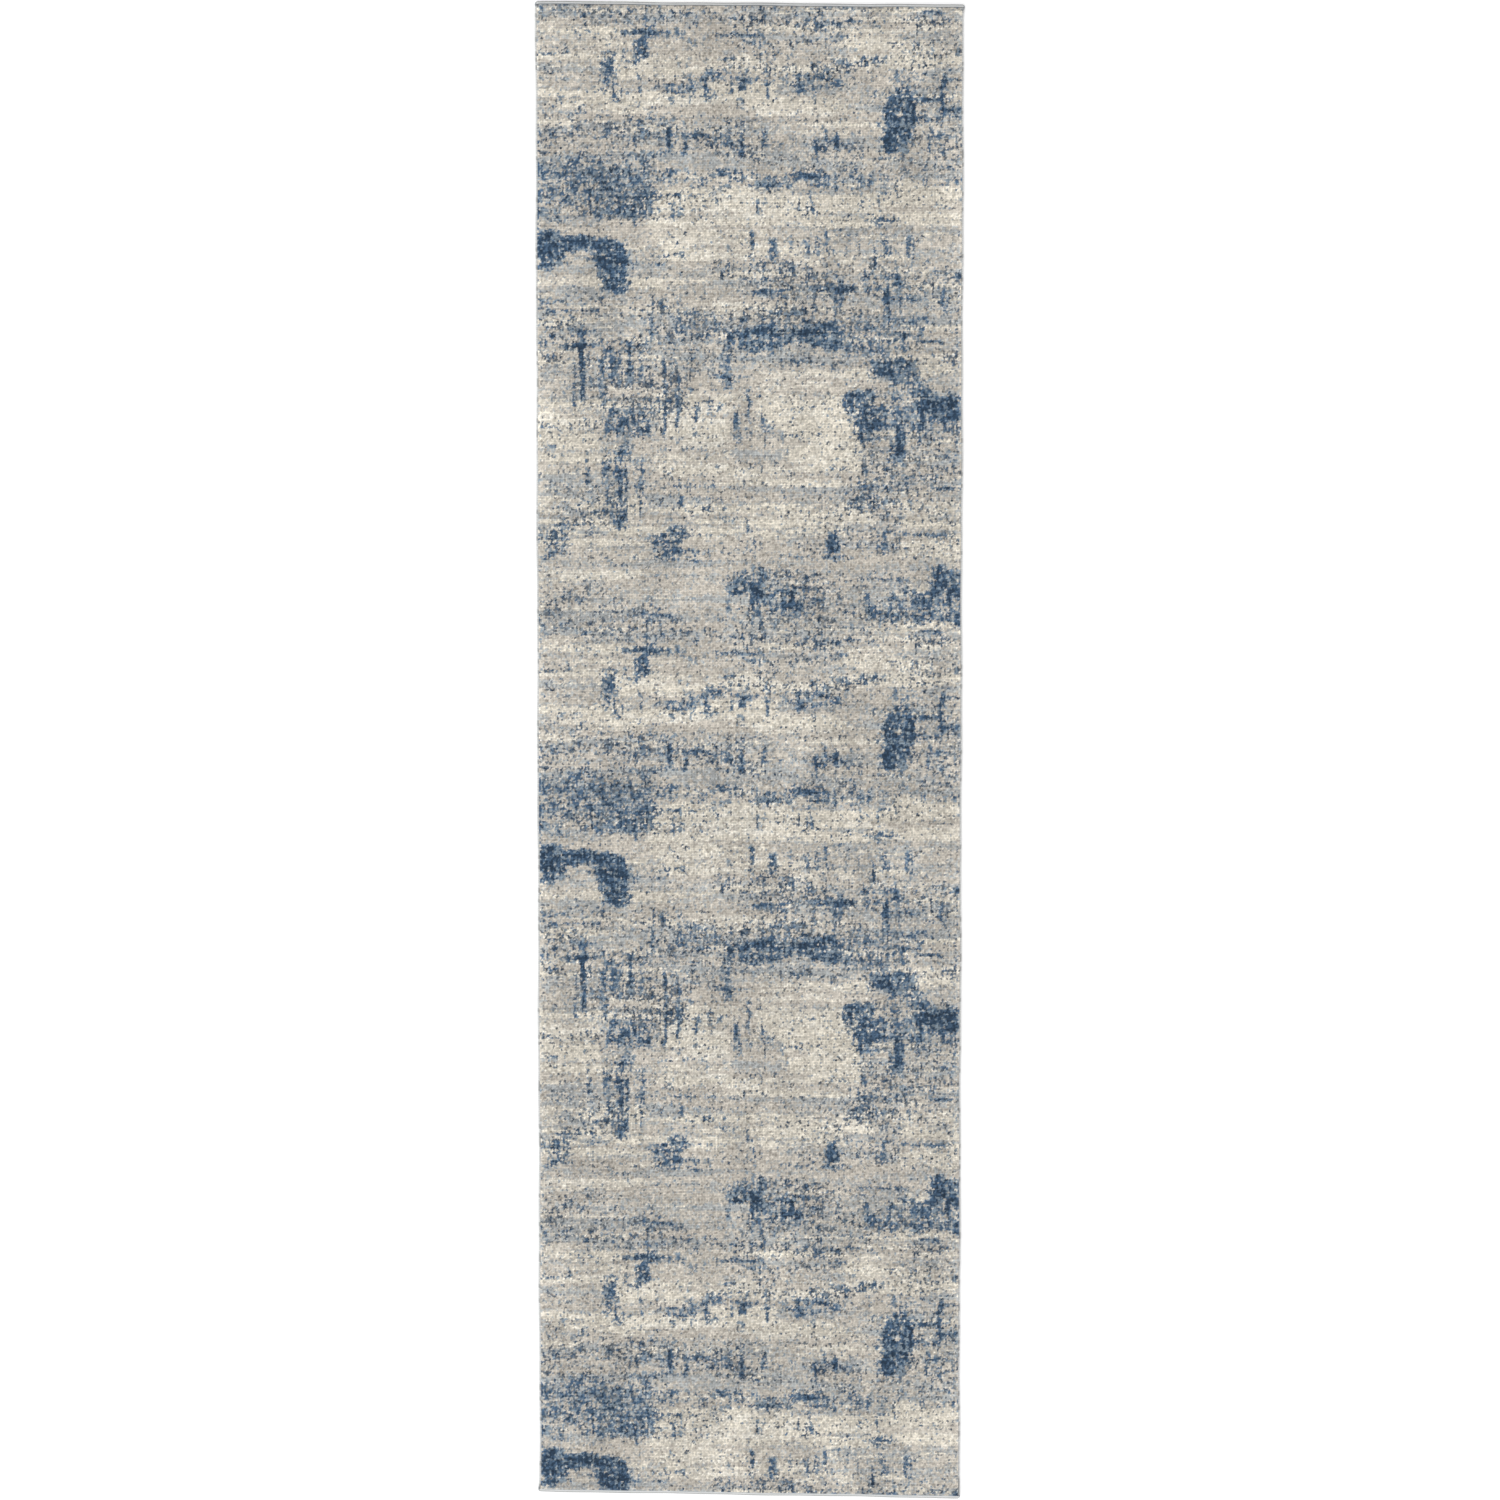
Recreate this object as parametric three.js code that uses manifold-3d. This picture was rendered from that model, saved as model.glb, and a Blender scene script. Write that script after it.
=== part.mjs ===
// A runner rug, 650 x 2286 mm, lying flat: a power-loomed cut pile on a woven ground cloth, with a
// latex back, overedged long sides, bound ends and a sewn care label.
//
// Millimetres. X runs across the rug, Y along it, Z up. The origin is the middle of the underside.
// "left" is -X, "right" is +X, "foot" is -Y and "head" is +Y.

import * as THREE from "three";
import { mergeVertices } from "three/addons/utils/BufferGeometryUtils.js";
import Module from "manifold-3d";

const wasm = await Module();
wasm.setup();

// ---------------------------------------------------------------- driving dimensions

// Whole rug.
const RUG_WIDTH = 650;
const RUG_LENGTH = 2286;
const CORNER_RADIUS = 5;

// Room left between two pieces that lie against each other, and beside a thread.
const GAP = 0.3;
const THREAD_GAP = 0.15;

// Layers, from the floor up.
const COATING_THICKNESS = 0.8;
const GROUND_THICKNESS = 2;
const PILE_HEIGHT = 8.6;
const PILE_CROWN = 2.4;
const PILE_CORNER_ROUNDING = 0.5;
const COATING_CORNER_RADIUS = 1;

// Overedging of the two long sides, with the cord that it is wrapped round.
const SERGING_WALL = 0.7;
const SERGING_TOP_REACH = 3.2;
const SERGING_BACK_REACH = 7;
const SELVEDGE_CORD_DIAMETER = 1.8;

// Tape that binds the two ends.
const TAPE_THICKNESS = 0.7;
const TAPE_TOP_REACH = 5.2;
const TAPE_BACK_REACH = 16;

// Sewing threads.
const BINDING_THREAD_WIDTH = 0.8;
const BINDING_THREAD_THICKNESS = 0.5;
const BOBBIN_THREAD_THICKNESS = 0.3;
const BINDING_SEAM_MARGIN = 0.9;
const BINDING_STITCH_LENGTH = 6;
const STITCH_DIP_SHARE = 0.4;
const STITCH_RAMP_SHARE = 0.25;
const OVEREDGE_THREAD_WIDTH = 0.8;
const OVEREDGE_THREAD_THICKNESS = 0.5;

// Bar tacks that lock the four corners.
const TACK_LENGTH = 6.4;
const TACK_WIDTH = 1.3;
const TACK_THICKNESS = 0.6;
const TACK_ROUNDING = 0.2;

// Care label on the underside, near the foot end's right corner.
const LABEL_WIDTH = 50;
const LABEL_LENGTH = 70;
const LABEL_THICKNESS = 0.4;
const LABEL_SIDE_OFFSET = 30;
const LABEL_END_OFFSET = 14;
const LABEL_POCKET_MARGIN = 1;
const LABEL_SEAM_INSET = 3;
const LABEL_SEAM_CORNER_RADIUS = 1;
const LABEL_THREAD_WIDTH = 0.6;
const LABEL_THREAD_THICKNESS = 0.25;

// Facets of a quarter turn on the outline's corners and the tacks' corners, and steps of the rounded edges.
const CORNER_FACETS = 8;
const TACK_CORNER_FACETS = 4;
const PILE_EDGE_STEPS = 4;
const TACK_EDGE_STEPS = 2;

// Facets of each curve in the edge sections, and all round the selvedge cord.
const SECTION_FACETS = 6;
const CORD_FACETS = 12;

// Vertices closer than this are one, and a cutting solid goes this far past what it cuts.
const MERGE_TOLERANCE = 1e-4;
const CUT_OVERSHOOT = 1;

// ---------------------------------------------------------------- levels and edges that follow

const LABEL_BOTTOM = LABEL_THREAD_THICKNESS + THREAD_GAP;
const LABEL_TOP = LABEL_BOTTOM + LABEL_THICKNESS;
const BACK_LEVEL = Math.max(COATING_THICKNESS, SERGING_WALL, TAPE_THICKNESS, LABEL_TOP);
const GROUND_BOTTOM = BACK_LEVEL + GAP;
const GROUND_TOP = GROUND_BOTTOM + GROUND_THICKNESS;
const PILE_BOTTOM = GROUND_TOP + GAP;
const GROUND_MIDDLE = (GROUND_BOTTOM + GROUND_TOP) / 2;

const CORD_OUTER_X = RUG_WIDTH / 2 - SERGING_WALL - GAP;
const CORD_X = CORD_OUTER_X - SELVEDGE_CORD_DIAMETER / 2;
const GROUND_HALF_WIDTH = CORD_OUTER_X - SELVEDGE_CORD_DIAMETER - GAP;
const GROUND_HALF_LENGTH = RUG_LENGTH / 2 - TAPE_THICKNESS - GAP;
const PILE_HALF_WIDTH = RUG_WIDTH / 2 - SERGING_TOP_REACH - GAP;
const PILE_HALF_LENGTH = RUG_LENGTH / 2 - TAPE_TOP_REACH - GAP;

const SERGING_INNER_X = RUG_WIDTH / 2 - SERGING_BACK_REACH;
const OVEREDGE_THREAD_X = SERGING_INNER_X - THREAD_GAP - OVEREDGE_THREAD_WIDTH / 2;
const COATING_HALF_WIDTH = OVEREDGE_THREAD_X - OVEREDGE_THREAD_WIDTH / 2 - THREAD_GAP;
const COATING_HALF_LENGTH = RUG_LENGTH / 2 - TAPE_BACK_REACH - GAP;
const BINDING_SEAM_Y = RUG_LENGTH / 2 - TAPE_TOP_REACH + BINDING_SEAM_MARGIN;

const LABEL_X = RUG_WIDTH / 2 - SERGING_BACK_REACH - LABEL_SIDE_OFFSET - LABEL_WIDTH / 2;
const LABEL_Y = -COATING_HALF_LENGTH + LABEL_END_OFFSET + LABEL_LENGTH / 2;

// ---------------------------------------------------------------- materials

const material = (color, roughness) =>
  new THREE.MeshStandardMaterial({ color, roughness, metalness: 0 });

const pileYarn = material(0xa9aaa8, 0.95);
const groundYarn = material(0xb9a98a, 0.9);
const latex = material(0xcbc3b2, 0.8);
const cordYarn = material(0xc9c6bd, 0.9);
const edgeYarn = material(0xa9b1ba, 0.85);
const tapeCloth = material(0xb7babd, 0.85);
const thread = material(0x8d959e, 0.75);
const labelCloth = material(0xf0efea, 0.7);

// ---------------------------------------------------------------- shapes and solids

// A rectangle of the given half sizes about (0, 0), with round corners.
function roundedRectangle(halfWidth, halfLength, radius) {
  const shape = new THREE.Shape();
  const corners = [
    [halfWidth - radius, halfLength - radius, 0],
    [-halfWidth + radius, halfLength - radius, 1],
    [-halfWidth + radius, -halfLength + radius, 2],
    [halfWidth - radius, -halfLength + radius, 3],
  ];
  for (const [x, y, quarter] of corners) {
    const start = (quarter * Math.PI) / 2;
    shape.absarc(x, y, radius, start, start + Math.PI / 2, false);
  }
  shape.closePath();
  return shape;
}

// A flat slab of a shape, from one height to another.
function slab(shape, bottom, top) {
  const geometry = new THREE.ExtrudeGeometry(shape, {
    depth: top - bottom,
    bevelEnabled: false,
    curveSegments: CORNER_FACETS,
  });
  geometry.translate(0, 0, bottom);
  return geometry;
}

// A box between two corners.
function boxBetween(low, high) {
  const size = high.map((value, axis) => value - low[axis]);
  const geometry = new THREE.BoxGeometry(...size);
  geometry.translate(...low.map((value, axis) => value + size[axis] / 2));
  return geometry;
}

// The solid of a closed geometry, for joining and cutting.
function solidOf(geometry) {
  const bare = geometry.clone();
  bare.deleteAttribute("normal");
  bare.deleteAttribute("uv");
  const merged = mergeVertices(bare, MERGE_TOLERANCE);
  return new wasm.Manifold(
    new wasm.Mesh({
      numProp: 3,
      vertProperties: new Float32Array(merged.attributes.position.array),
      triVerts: new Uint32Array(merged.index.array),
    }),
  );
}

// The geometry of a solid.
function geometryOf(solid) {
  const mesh = solid.getMesh();
  const geometry = new THREE.BufferGeometry();
  geometry.setAttribute("position", new THREE.BufferAttribute(mesh.vertProperties, 3));
  geometry.setIndex(new THREE.BufferAttribute(mesh.triVerts, 1));
  geometry.computeVertexNormals();
  return geometry;
}

// The outline of material folded round an edge: a hook that is open inwards. The first coordinate is the
// distance in from the outer edge and the second is the height.
function foldedSection({ wall, topReach, backReach, height }) {
  const outer = height / 2;
  const inner = outer - wall;
  const shape = new THREE.Shape();
  shape.moveTo(backReach, 0);
  shape.lineTo(backReach, wall);
  shape.lineTo(outer, wall);
  shape.absarc(outer, outer, inner, -Math.PI / 2, -Math.PI * 1.5, true);
  shape.lineTo(topReach, height - wall);
  shape.lineTo(topReach, height);
  shape.lineTo(outer, height);
  shape.absarc(outer, outer, outer, Math.PI / 2, Math.PI * 1.5, false);
  shape.closePath();
  return shape;
}

// A section (distance in from the edge, height) run along the rug's +X side.
function alongSide(section, halfLength) {
  const geometry = new THREE.ExtrudeGeometry(section, {
    depth: 2 * halfLength,
    bevelEnabled: false,
    curveSegments: SECTION_FACETS,
  });
  geometry.applyMatrix4(
    new THREE.Matrix4().set(-1, 0, 0, RUG_WIDTH / 2, 0, 0, 1, -halfLength, 0, 1, 0, 0, 0, 0, 0, 1),
  );
  return geometry;
}

// A section (distance in from the edge, height) run along the rug's +Y end.
function alongEnd(section, halfWidth) {
  const geometry = new THREE.ExtrudeGeometry(section, {
    depth: 2 * halfWidth,
    bevelEnabled: false,
    curveSegments: SECTION_FACETS,
  });
  geometry.applyMatrix4(
    new THREE.Matrix4().set(0, 0, -1, halfWidth, -1, 0, 0, RUG_LENGTH / 2, 0, 1, 0, 0, 0, 0, 0, 1),
  );
  return geometry;
}

// A row of stitches along X: thread that lies on the tape and dips at each needle hole.
function stitchRow(halfWidth, stitchLength, width, thickness) {
  const count = Math.round((2 * halfWidth) / stitchLength);
  const pitch = (2 * halfWidth) / count;
  const dip = thickness * STITCH_DIP_SHARE;
  const ramp = pitch * STITCH_RAMP_SHARE;
  const shape = new THREE.Shape();
  shape.moveTo(-halfWidth, 0);
  shape.lineTo(halfWidth, 0);
  shape.lineTo(halfWidth, thickness - dip);
  for (let stitch = count - 1; stitch >= 0; stitch -= 1) {
    const start = -halfWidth + stitch * pitch;
    shape.lineTo(start + pitch - ramp, thickness);
    shape.lineTo(start + ramp, thickness);
    shape.lineTo(start, thickness - dip);
  }
  shape.closePath();
  const geometry = new THREE.ExtrudeGeometry(shape, { depth: width, bevelEnabled: false });
  geometry.rotateX(Math.PI / 2);
  geometry.translate(0, width / 2, 0);
  return geometry;
}

// ---------------------------------------------------------------- layers

function buildGroundCloth() {
  const outline = roundedRectangle(
    GROUND_HALF_WIDTH,
    GROUND_HALF_LENGTH,
    CORNER_RADIUS - TAPE_THICKNESS - GAP,
  );
  return slab(outline, GROUND_BOTTOM, GROUND_TOP);
}

// The tufts as one block with rounded top edges.
function buildPile() {
  const outline = roundedRectangle(
    PILE_HALF_WIDTH,
    PILE_HALF_LENGTH,
    PILE_CROWN + PILE_CORNER_ROUNDING,
  );
  const block = new THREE.ExtrudeGeometry(outline, {
    depth: PILE_HEIGHT - PILE_CROWN,
    bevelEnabled: true,
    bevelThickness: PILE_CROWN,
    bevelSize: PILE_CROWN,
    bevelOffset: -PILE_CROWN,
    bevelSegments: PILE_EDGE_STEPS,
    curveSegments: CORNER_FACETS,
  });
  block.translate(0, 0, PILE_BOTTOM);
  const belowGround = boxBetween(
    [-RUG_WIDTH, -RUG_LENGTH, PILE_BOTTOM - 2 * PILE_CROWN],
    [RUG_WIDTH, RUG_LENGTH, PILE_BOTTOM],
  );
  return geometryOf(solidOf(block).subtract(solidOf(belowGround)));
}

// The latex film on the back, with the pocket that the care label lies in.
function buildBackCoating() {
  const outline = roundedRectangle(
    COATING_HALF_WIDTH,
    COATING_HALF_LENGTH,
    COATING_CORNER_RADIUS,
  );
  const pocket = new THREE.Path();
  const halfWidth = LABEL_WIDTH / 2 + LABEL_POCKET_MARGIN;
  const halfLength = LABEL_LENGTH / 2 + LABEL_POCKET_MARGIN;
  pocket.moveTo(LABEL_X - halfWidth, LABEL_Y - halfLength);
  pocket.lineTo(LABEL_X - halfWidth, LABEL_Y + halfLength);
  pocket.lineTo(LABEL_X + halfWidth, LABEL_Y + halfLength);
  pocket.lineTo(LABEL_X + halfWidth, LABEL_Y - halfLength);
  pocket.closePath();
  outline.holes.push(pocket);
  return slab(outline, 0, COATING_THICKNESS);
}

// ---------------------------------------------------------------- long sides

function buildSelvedgeCord() {
  const halfLength = RUG_LENGTH / 2 - CORNER_RADIUS - GAP;
  const geometry = new THREE.CylinderGeometry(
    SELVEDGE_CORD_DIAMETER / 2,
    SELVEDGE_CORD_DIAMETER / 2,
    2 * halfLength,
    CORD_FACETS,
  );
  geometry.translate(CORD_X, 0, GROUND_MIDDLE);
  return geometry;
}

function buildSerging() {
  const section = foldedSection({
    wall: SERGING_WALL,
    topReach: SERGING_TOP_REACH,
    backReach: SERGING_BACK_REACH,
    height: PILE_BOTTOM + SERGING_WALL,
  });
  return alongSide(section, PILE_HALF_LENGTH);
}

// The needle thread that holds the overedging on the back.
function buildOveredgeThread() {
  return boxBetween(
    [OVEREDGE_THREAD_X - OVEREDGE_THREAD_WIDTH / 2, -COATING_HALF_LENGTH, THREAD_GAP],
    [
      OVEREDGE_THREAD_X + OVEREDGE_THREAD_WIDTH / 2,
      COATING_HALF_LENGTH,
      THREAD_GAP + OVEREDGE_THREAD_THICKNESS,
    ],
  );
}

// ---------------------------------------------------------------- ends

// Tape folded round the +Y end, closed at both corners, notched on the back for the overedging, and grooved
// for the bobbin thread.
function buildEndBinding() {
  const height = PILE_BOTTOM + TAPE_THICKNESS;
  const solidSection = new THREE.Shape();
  solidSection.moveTo(TAPE_BACK_REACH, 0);
  solidSection.lineTo(TAPE_BACK_REACH, TAPE_THICKNESS);
  solidSection.lineTo(TAPE_TOP_REACH, TAPE_THICKNESS);
  solidSection.lineTo(TAPE_TOP_REACH, height);
  solidSection.lineTo(height / 2, height);
  solidSection.absarc(height / 2, height / 2, height / 2, Math.PI / 2, Math.PI * 1.5, false);
  solidSection.closePath();
  const block = solidOf(alongEnd(solidSection, RUG_WIDTH / 2));

  const rugOutline = roundedRectangle(RUG_WIDTH / 2, RUG_LENGTH / 2, CORNER_RADIUS);
  const withinRug = solidOf(slab(rugOutline, -CUT_OVERSHOOT, height + CUT_OVERSHOOT));
  const clothSpace = roundedRectangle(
    RUG_WIDTH / 2 - TAPE_THICKNESS,
    RUG_LENGTH / 2 - TAPE_THICKNESS,
    CORNER_RADIUS - TAPE_THICKNESS,
  );
  const hollow = solidOf(slab(clothSpace, TAPE_THICKNESS, PILE_BOTTOM));

  let tape = block.intersect(withinRug).subtract(hollow);
  const notchOuterY = RUG_LENGTH / 2 - TAPE_TOP_REACH;
  for (const side of [-1, 1]) {
    const edges = [side * (SERGING_INNER_X - GAP), side * RUG_WIDTH];
    const notch = boxBetween(
      [Math.min(...edges), notchOuterY - TAPE_BACK_REACH, -CUT_OVERSHOOT],
      [Math.max(...edges), notchOuterY, height + CUT_OVERSHOOT],
    );
    tape = tape.subtract(solidOf(notch));
  }
  const grooveHalf = BINDING_THREAD_WIDTH / 2 + THREAD_GAP;
  const groove = boxBetween(
    [-SERGING_INNER_X, BINDING_SEAM_Y - grooveHalf, -CUT_OVERSHOOT],
    [SERGING_INNER_X, BINDING_SEAM_Y + grooveHalf, BOBBIN_THREAD_THICKNESS + THREAD_GAP],
  );
  return geometryOf(tape.subtract(solidOf(groove)));
}

// The upper thread of the seam through the binding.
function buildBindingNeedleThread() {
  const geometry = stitchRow(
    SERGING_INNER_X,
    BINDING_STITCH_LENGTH,
    BINDING_THREAD_WIDTH,
    BINDING_THREAD_THICKNESS,
  );
  const top = PILE_BOTTOM + TAPE_THICKNESS;
  geometry.translate(0, BINDING_SEAM_Y, top + THREAD_GAP);
  return geometry;
}

// The lower thread of the same seam, in the tape's groove.
function buildBindingBobbinThread() {
  const halfWidth = SERGING_INNER_X - THREAD_GAP;
  return boxBetween(
    [-halfWidth, BINDING_SEAM_Y - BINDING_THREAD_WIDTH / 2, 0],
    [halfWidth, BINDING_SEAM_Y + BINDING_THREAD_WIDTH / 2, BOBBIN_THREAD_THICKNESS],
  );
}

// A bar tack across the joint between the overedging and the binding, at the +X +Y corner.
function buildCornerTack() {
  const outline = roundedRectangle(
    TACK_WIDTH / 2 - TACK_ROUNDING,
    TACK_LENGTH / 2 - TACK_ROUNDING,
    TACK_WIDTH / 2 - 2 * TACK_ROUNDING,
  );
  const geometry = new THREE.ExtrudeGeometry(outline, {
    depth: TACK_THICKNESS - 2 * TACK_ROUNDING,
    bevelEnabled: true,
    bevelThickness: TACK_ROUNDING,
    bevelSize: TACK_ROUNDING,
    bevelSegments: TACK_EDGE_STEPS,
    curveSegments: TACK_CORNER_FACETS,
  });
  const bottom = PILE_BOTTOM + Math.max(SERGING_WALL, TAPE_THICKNESS) + THREAD_GAP;
  geometry.translate(
    RUG_WIDTH / 2 - SERGING_TOP_REACH / 2,
    RUG_LENGTH / 2 - TAPE_TOP_REACH,
    bottom + TACK_ROUNDING,
  );
  return geometry;
}

// ---------------------------------------------------------------- care label

function buildCareLabel() {
  return boxBetween(
    [LABEL_X - LABEL_WIDTH / 2, LABEL_Y - LABEL_LENGTH / 2, LABEL_BOTTOM],
    [LABEL_X + LABEL_WIDTH / 2, LABEL_Y + LABEL_LENGTH / 2, LABEL_TOP],
  );
}

// One round of thread near the label's edge, on its outer face.
function buildLabelStitching() {
  const halfWidth = LABEL_WIDTH / 2 - LABEL_SEAM_INSET;
  const halfLength = LABEL_LENGTH / 2 - LABEL_SEAM_INSET;
  const ring = roundedRectangle(halfWidth, halfLength, LABEL_SEAM_CORNER_RADIUS);
  const inside = roundedRectangle(
    halfWidth - LABEL_THREAD_WIDTH,
    halfLength - LABEL_THREAD_WIDTH,
    LABEL_SEAM_CORNER_RADIUS - LABEL_THREAD_WIDTH,
  );
  ring.holes.push(inside);
  const geometry = slab(ring, 0, LABEL_THREAD_THICKNESS);
  geometry.translate(LABEL_X, LABEL_Y, 0);
  return geometry;
}

// ---------------------------------------------------------------- assembly

function piece(name, geometry, finish) {
  const mesh = new THREE.Mesh(geometry, finish);
  mesh.name = name;
  return mesh;
}

const rug = new THREE.Group();
rug.add(
  piece("pile", buildPile(), pileYarn),
  piece("ground_cloth", buildGroundCloth(), groundYarn),
  piece("back_coating", buildBackCoating(), latex),
  piece("care_label", buildCareLabel(), labelCloth),
  piece("care_label_stitching", buildLabelStitching(), thread),
);

// Each side is the +X side's pieces, turned half round for -X.
for (const [side, turn] of [
  ["right", 0],
  ["left", Math.PI],
]) {
  const edge = new THREE.Group();
  edge.rotation.z = turn;
  edge.add(
    piece(`selvedge_cord_${side}`, buildSelvedgeCord(), cordYarn),
    piece(`serging_${side}`, buildSerging(), edgeYarn),
    piece(`overedge_thread_${side}`, buildOveredgeThread(), thread),
  );
  rug.add(edge);
}

// Each end is the +Y end's pieces, turned half round for -Y.
for (const [end, turn] of [
  ["head", 0],
  ["foot", Math.PI],
]) {
  const edge = new THREE.Group();
  edge.rotation.z = turn;
  edge.add(
    piece(`end_binding_${end}`, buildEndBinding(), tapeCloth),
    piece(`binding_needle_thread_${end}`, buildBindingNeedleThread(), thread),
    piece(`binding_bobbin_thread_${end}`, buildBindingBobbinThread(), thread),
  );
  const clockwiseSide = end === "head" ? "right" : "left";
  const otherSide = end === "head" ? "left" : "right";
  const tack = piece(`corner_tack_${end}_${clockwiseSide}`, buildCornerTack(), thread);
  const otherTack = piece(`corner_tack_${end}_${otherSide}`, buildCornerTack(), thread);
  otherTack.position.x = -(RUG_WIDTH - SERGING_TOP_REACH);
  edge.add(tack, otherTack);
  rug.add(edge);
}

export default rug;
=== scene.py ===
"""Looks of a runner rug: a cut pile on a woven ground cloth, with overedged sides and bound ends.

Metres. X runs across the rug, Y along it towards the head end, Z up through the pile. Every place comes
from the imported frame. The rug has no joints, so each piece rides on the one body, root.
"""

import logging
import math
from dataclasses import dataclass, field
from enum import Enum
from functools import reduce
from typing import NamedTuple

import bpy
import numpy as np
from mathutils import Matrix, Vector


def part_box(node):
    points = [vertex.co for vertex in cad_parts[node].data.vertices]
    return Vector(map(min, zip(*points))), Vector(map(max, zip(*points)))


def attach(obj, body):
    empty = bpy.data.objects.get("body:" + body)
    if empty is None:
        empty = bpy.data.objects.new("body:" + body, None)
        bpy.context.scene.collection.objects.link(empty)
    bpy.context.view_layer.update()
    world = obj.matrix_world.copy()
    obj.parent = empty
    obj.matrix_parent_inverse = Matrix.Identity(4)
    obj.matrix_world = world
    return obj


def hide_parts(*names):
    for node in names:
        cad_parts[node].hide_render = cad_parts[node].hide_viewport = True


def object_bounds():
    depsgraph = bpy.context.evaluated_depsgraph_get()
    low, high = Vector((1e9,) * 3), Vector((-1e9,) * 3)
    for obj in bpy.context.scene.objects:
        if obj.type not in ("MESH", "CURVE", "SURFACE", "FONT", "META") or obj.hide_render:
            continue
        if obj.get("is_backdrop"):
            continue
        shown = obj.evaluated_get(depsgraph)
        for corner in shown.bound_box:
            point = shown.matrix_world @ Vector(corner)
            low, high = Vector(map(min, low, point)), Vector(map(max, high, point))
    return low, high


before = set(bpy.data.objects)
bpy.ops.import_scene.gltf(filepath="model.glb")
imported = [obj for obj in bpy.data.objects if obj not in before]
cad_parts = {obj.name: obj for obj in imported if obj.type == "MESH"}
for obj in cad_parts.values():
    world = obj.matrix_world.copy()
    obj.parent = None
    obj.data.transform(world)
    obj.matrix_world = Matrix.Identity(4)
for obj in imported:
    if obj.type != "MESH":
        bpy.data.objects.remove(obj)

LOG = logging.getLogger("runner_rug")

MM = 0.001
BODY = "root"

Array = np.ndarray
Colour = tuple[int, int, int]
Range = tuple[float, float]
Socket = bpy.types.NodeSocket
Values = dict[str | int, object]

# The wave texture's scale for one band in each metre.
WAVES_PER_BAND = 2 * math.pi / 20
# How dark and how light the fibres of a woven or twisted yarn are.
FIBRE_LIGHT = (0.82, 1.18)
SHEEN_ROUGHNESS = 0.6


# ---- named options


class Yarn(Enum):
    """The pile yarns, from dark to light, each with its dyed colour in sRGB."""

    NAVY = (46, 68, 91)
    DENIM = (79, 105, 132)
    PALE_BLUE = (140, 155, 167)
    SLATE = (112, 120, 128)
    COOL_GREY = (184, 187, 187)
    WARM_GREY = (211, 204, 193)
    CREAM = (231, 224, 210)
    IVORY = (237, 232, 221)


class Side(Enum):
    """A long side of the rug, and which way it lies along X."""

    LEFT = -1
    RIGHT = 1


class End(Enum):
    """A short end of the rug, and which way it lies along Y."""

    FOOT = -1
    HEAD = 1


# ---- numbers and noise


def linear(colour: Colour) -> tuple[float, float, float, float]:
    """Turns an sRGB colour into the scene's linear light.

    Args:
        colour: Red, green and blue, from 0 to 255.

    Returns:
        Linear red, green and blue, and a full alpha.
    """
    parts = [value / 255 for value in colour]
    red, green, blue = (p / 12.92 if p <= 0.04045 else ((p + 0.055) / 1.055) ** 2.4 for p in parts)
    return (red, green, blue, 1.0)


def soften(values: Array, rows: float, columns: float) -> Array:
    """Blurs a field that repeats at its edges.

    Args:
        values: The field.
        rows: Spread of the blur down the rows, in cells.
        columns: Spread of the blur along the columns, in cells.

    Returns:
        The blurred field.
    """
    down = np.fft.fftfreq(values.shape[0])[:, None]
    across = np.fft.rfftfreq(values.shape[1])[None, :]
    keep = np.exp(-2 * np.pi**2 * ((rows * down) ** 2 + (columns * across) ** 2))
    return np.fft.irfft2(np.fft.rfft2(values) * keep, s=values.shape)


def placed(x: Array | float, y: Array | float, z: Array | float) -> Array:
    """Points from their coordinates, each of them an array or one number for all."""
    return np.stack(np.broadcast_arrays(x, y, z), -1)


def spread_evenly(values: Array) -> Array:
    """Ranks a field, so that its values fill 0 to 1 evenly."""
    order = np.argsort(values, axis=None)
    ranks = np.empty(values.size)
    ranks[order] = (np.arange(values.size) + 0.5) / values.size
    return ranks.reshape(values.shape)


# ---- forms


@dataclass
class Form:
    """A mesh in the making: points, four-cornered faces, and a flat map of each face."""

    points: Array
    quads: Array
    chart: Array | None = None
    point_values: dict[str, Array] = field(default_factory=dict)

    def outward(self) -> "Form":
        """Turns the faces of a closed form to point out."""
        a, b, c, d = (self.points[self.quads[:, k]] for k in range(4))
        triangles = np.cross(b, c) + np.cross(c, d)
        if float((a * triangles).sum()) < 0:
            self.quads = self.quads[:, ::-1]
            if self.chart is not None:
                self.chart = self.chart[:, ::-1]
        return self

    def joined(self, other: "Form") -> "Form":
        """Adds another form that has no values and no map of its own."""
        quads = np.concatenate([self.quads, other.quads + len(self.points)])
        return Form(np.concatenate([self.points, other.points]), quads)


def lattice_quads(rows: int, columns: int, wrap: bool = False) -> Array:
    """Lists the faces of a lattice of points.

    Args:
        rows: Rows of points.
        columns: Points in each row.
        wrap: Whether each row closes on itself.

    Returns:
        The four corner points of each face.
    """
    row = np.arange(rows - 1)[:, None]
    column = np.arange(columns if wrap else columns - 1)[None, :]
    after = (column + 1) % columns
    start, end = row * columns, (row + 1) * columns
    corners = np.broadcast_arrays(start + column, start + after, end + after, end + column)
    return np.stack(corners, -1).reshape(-1, 4)


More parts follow.
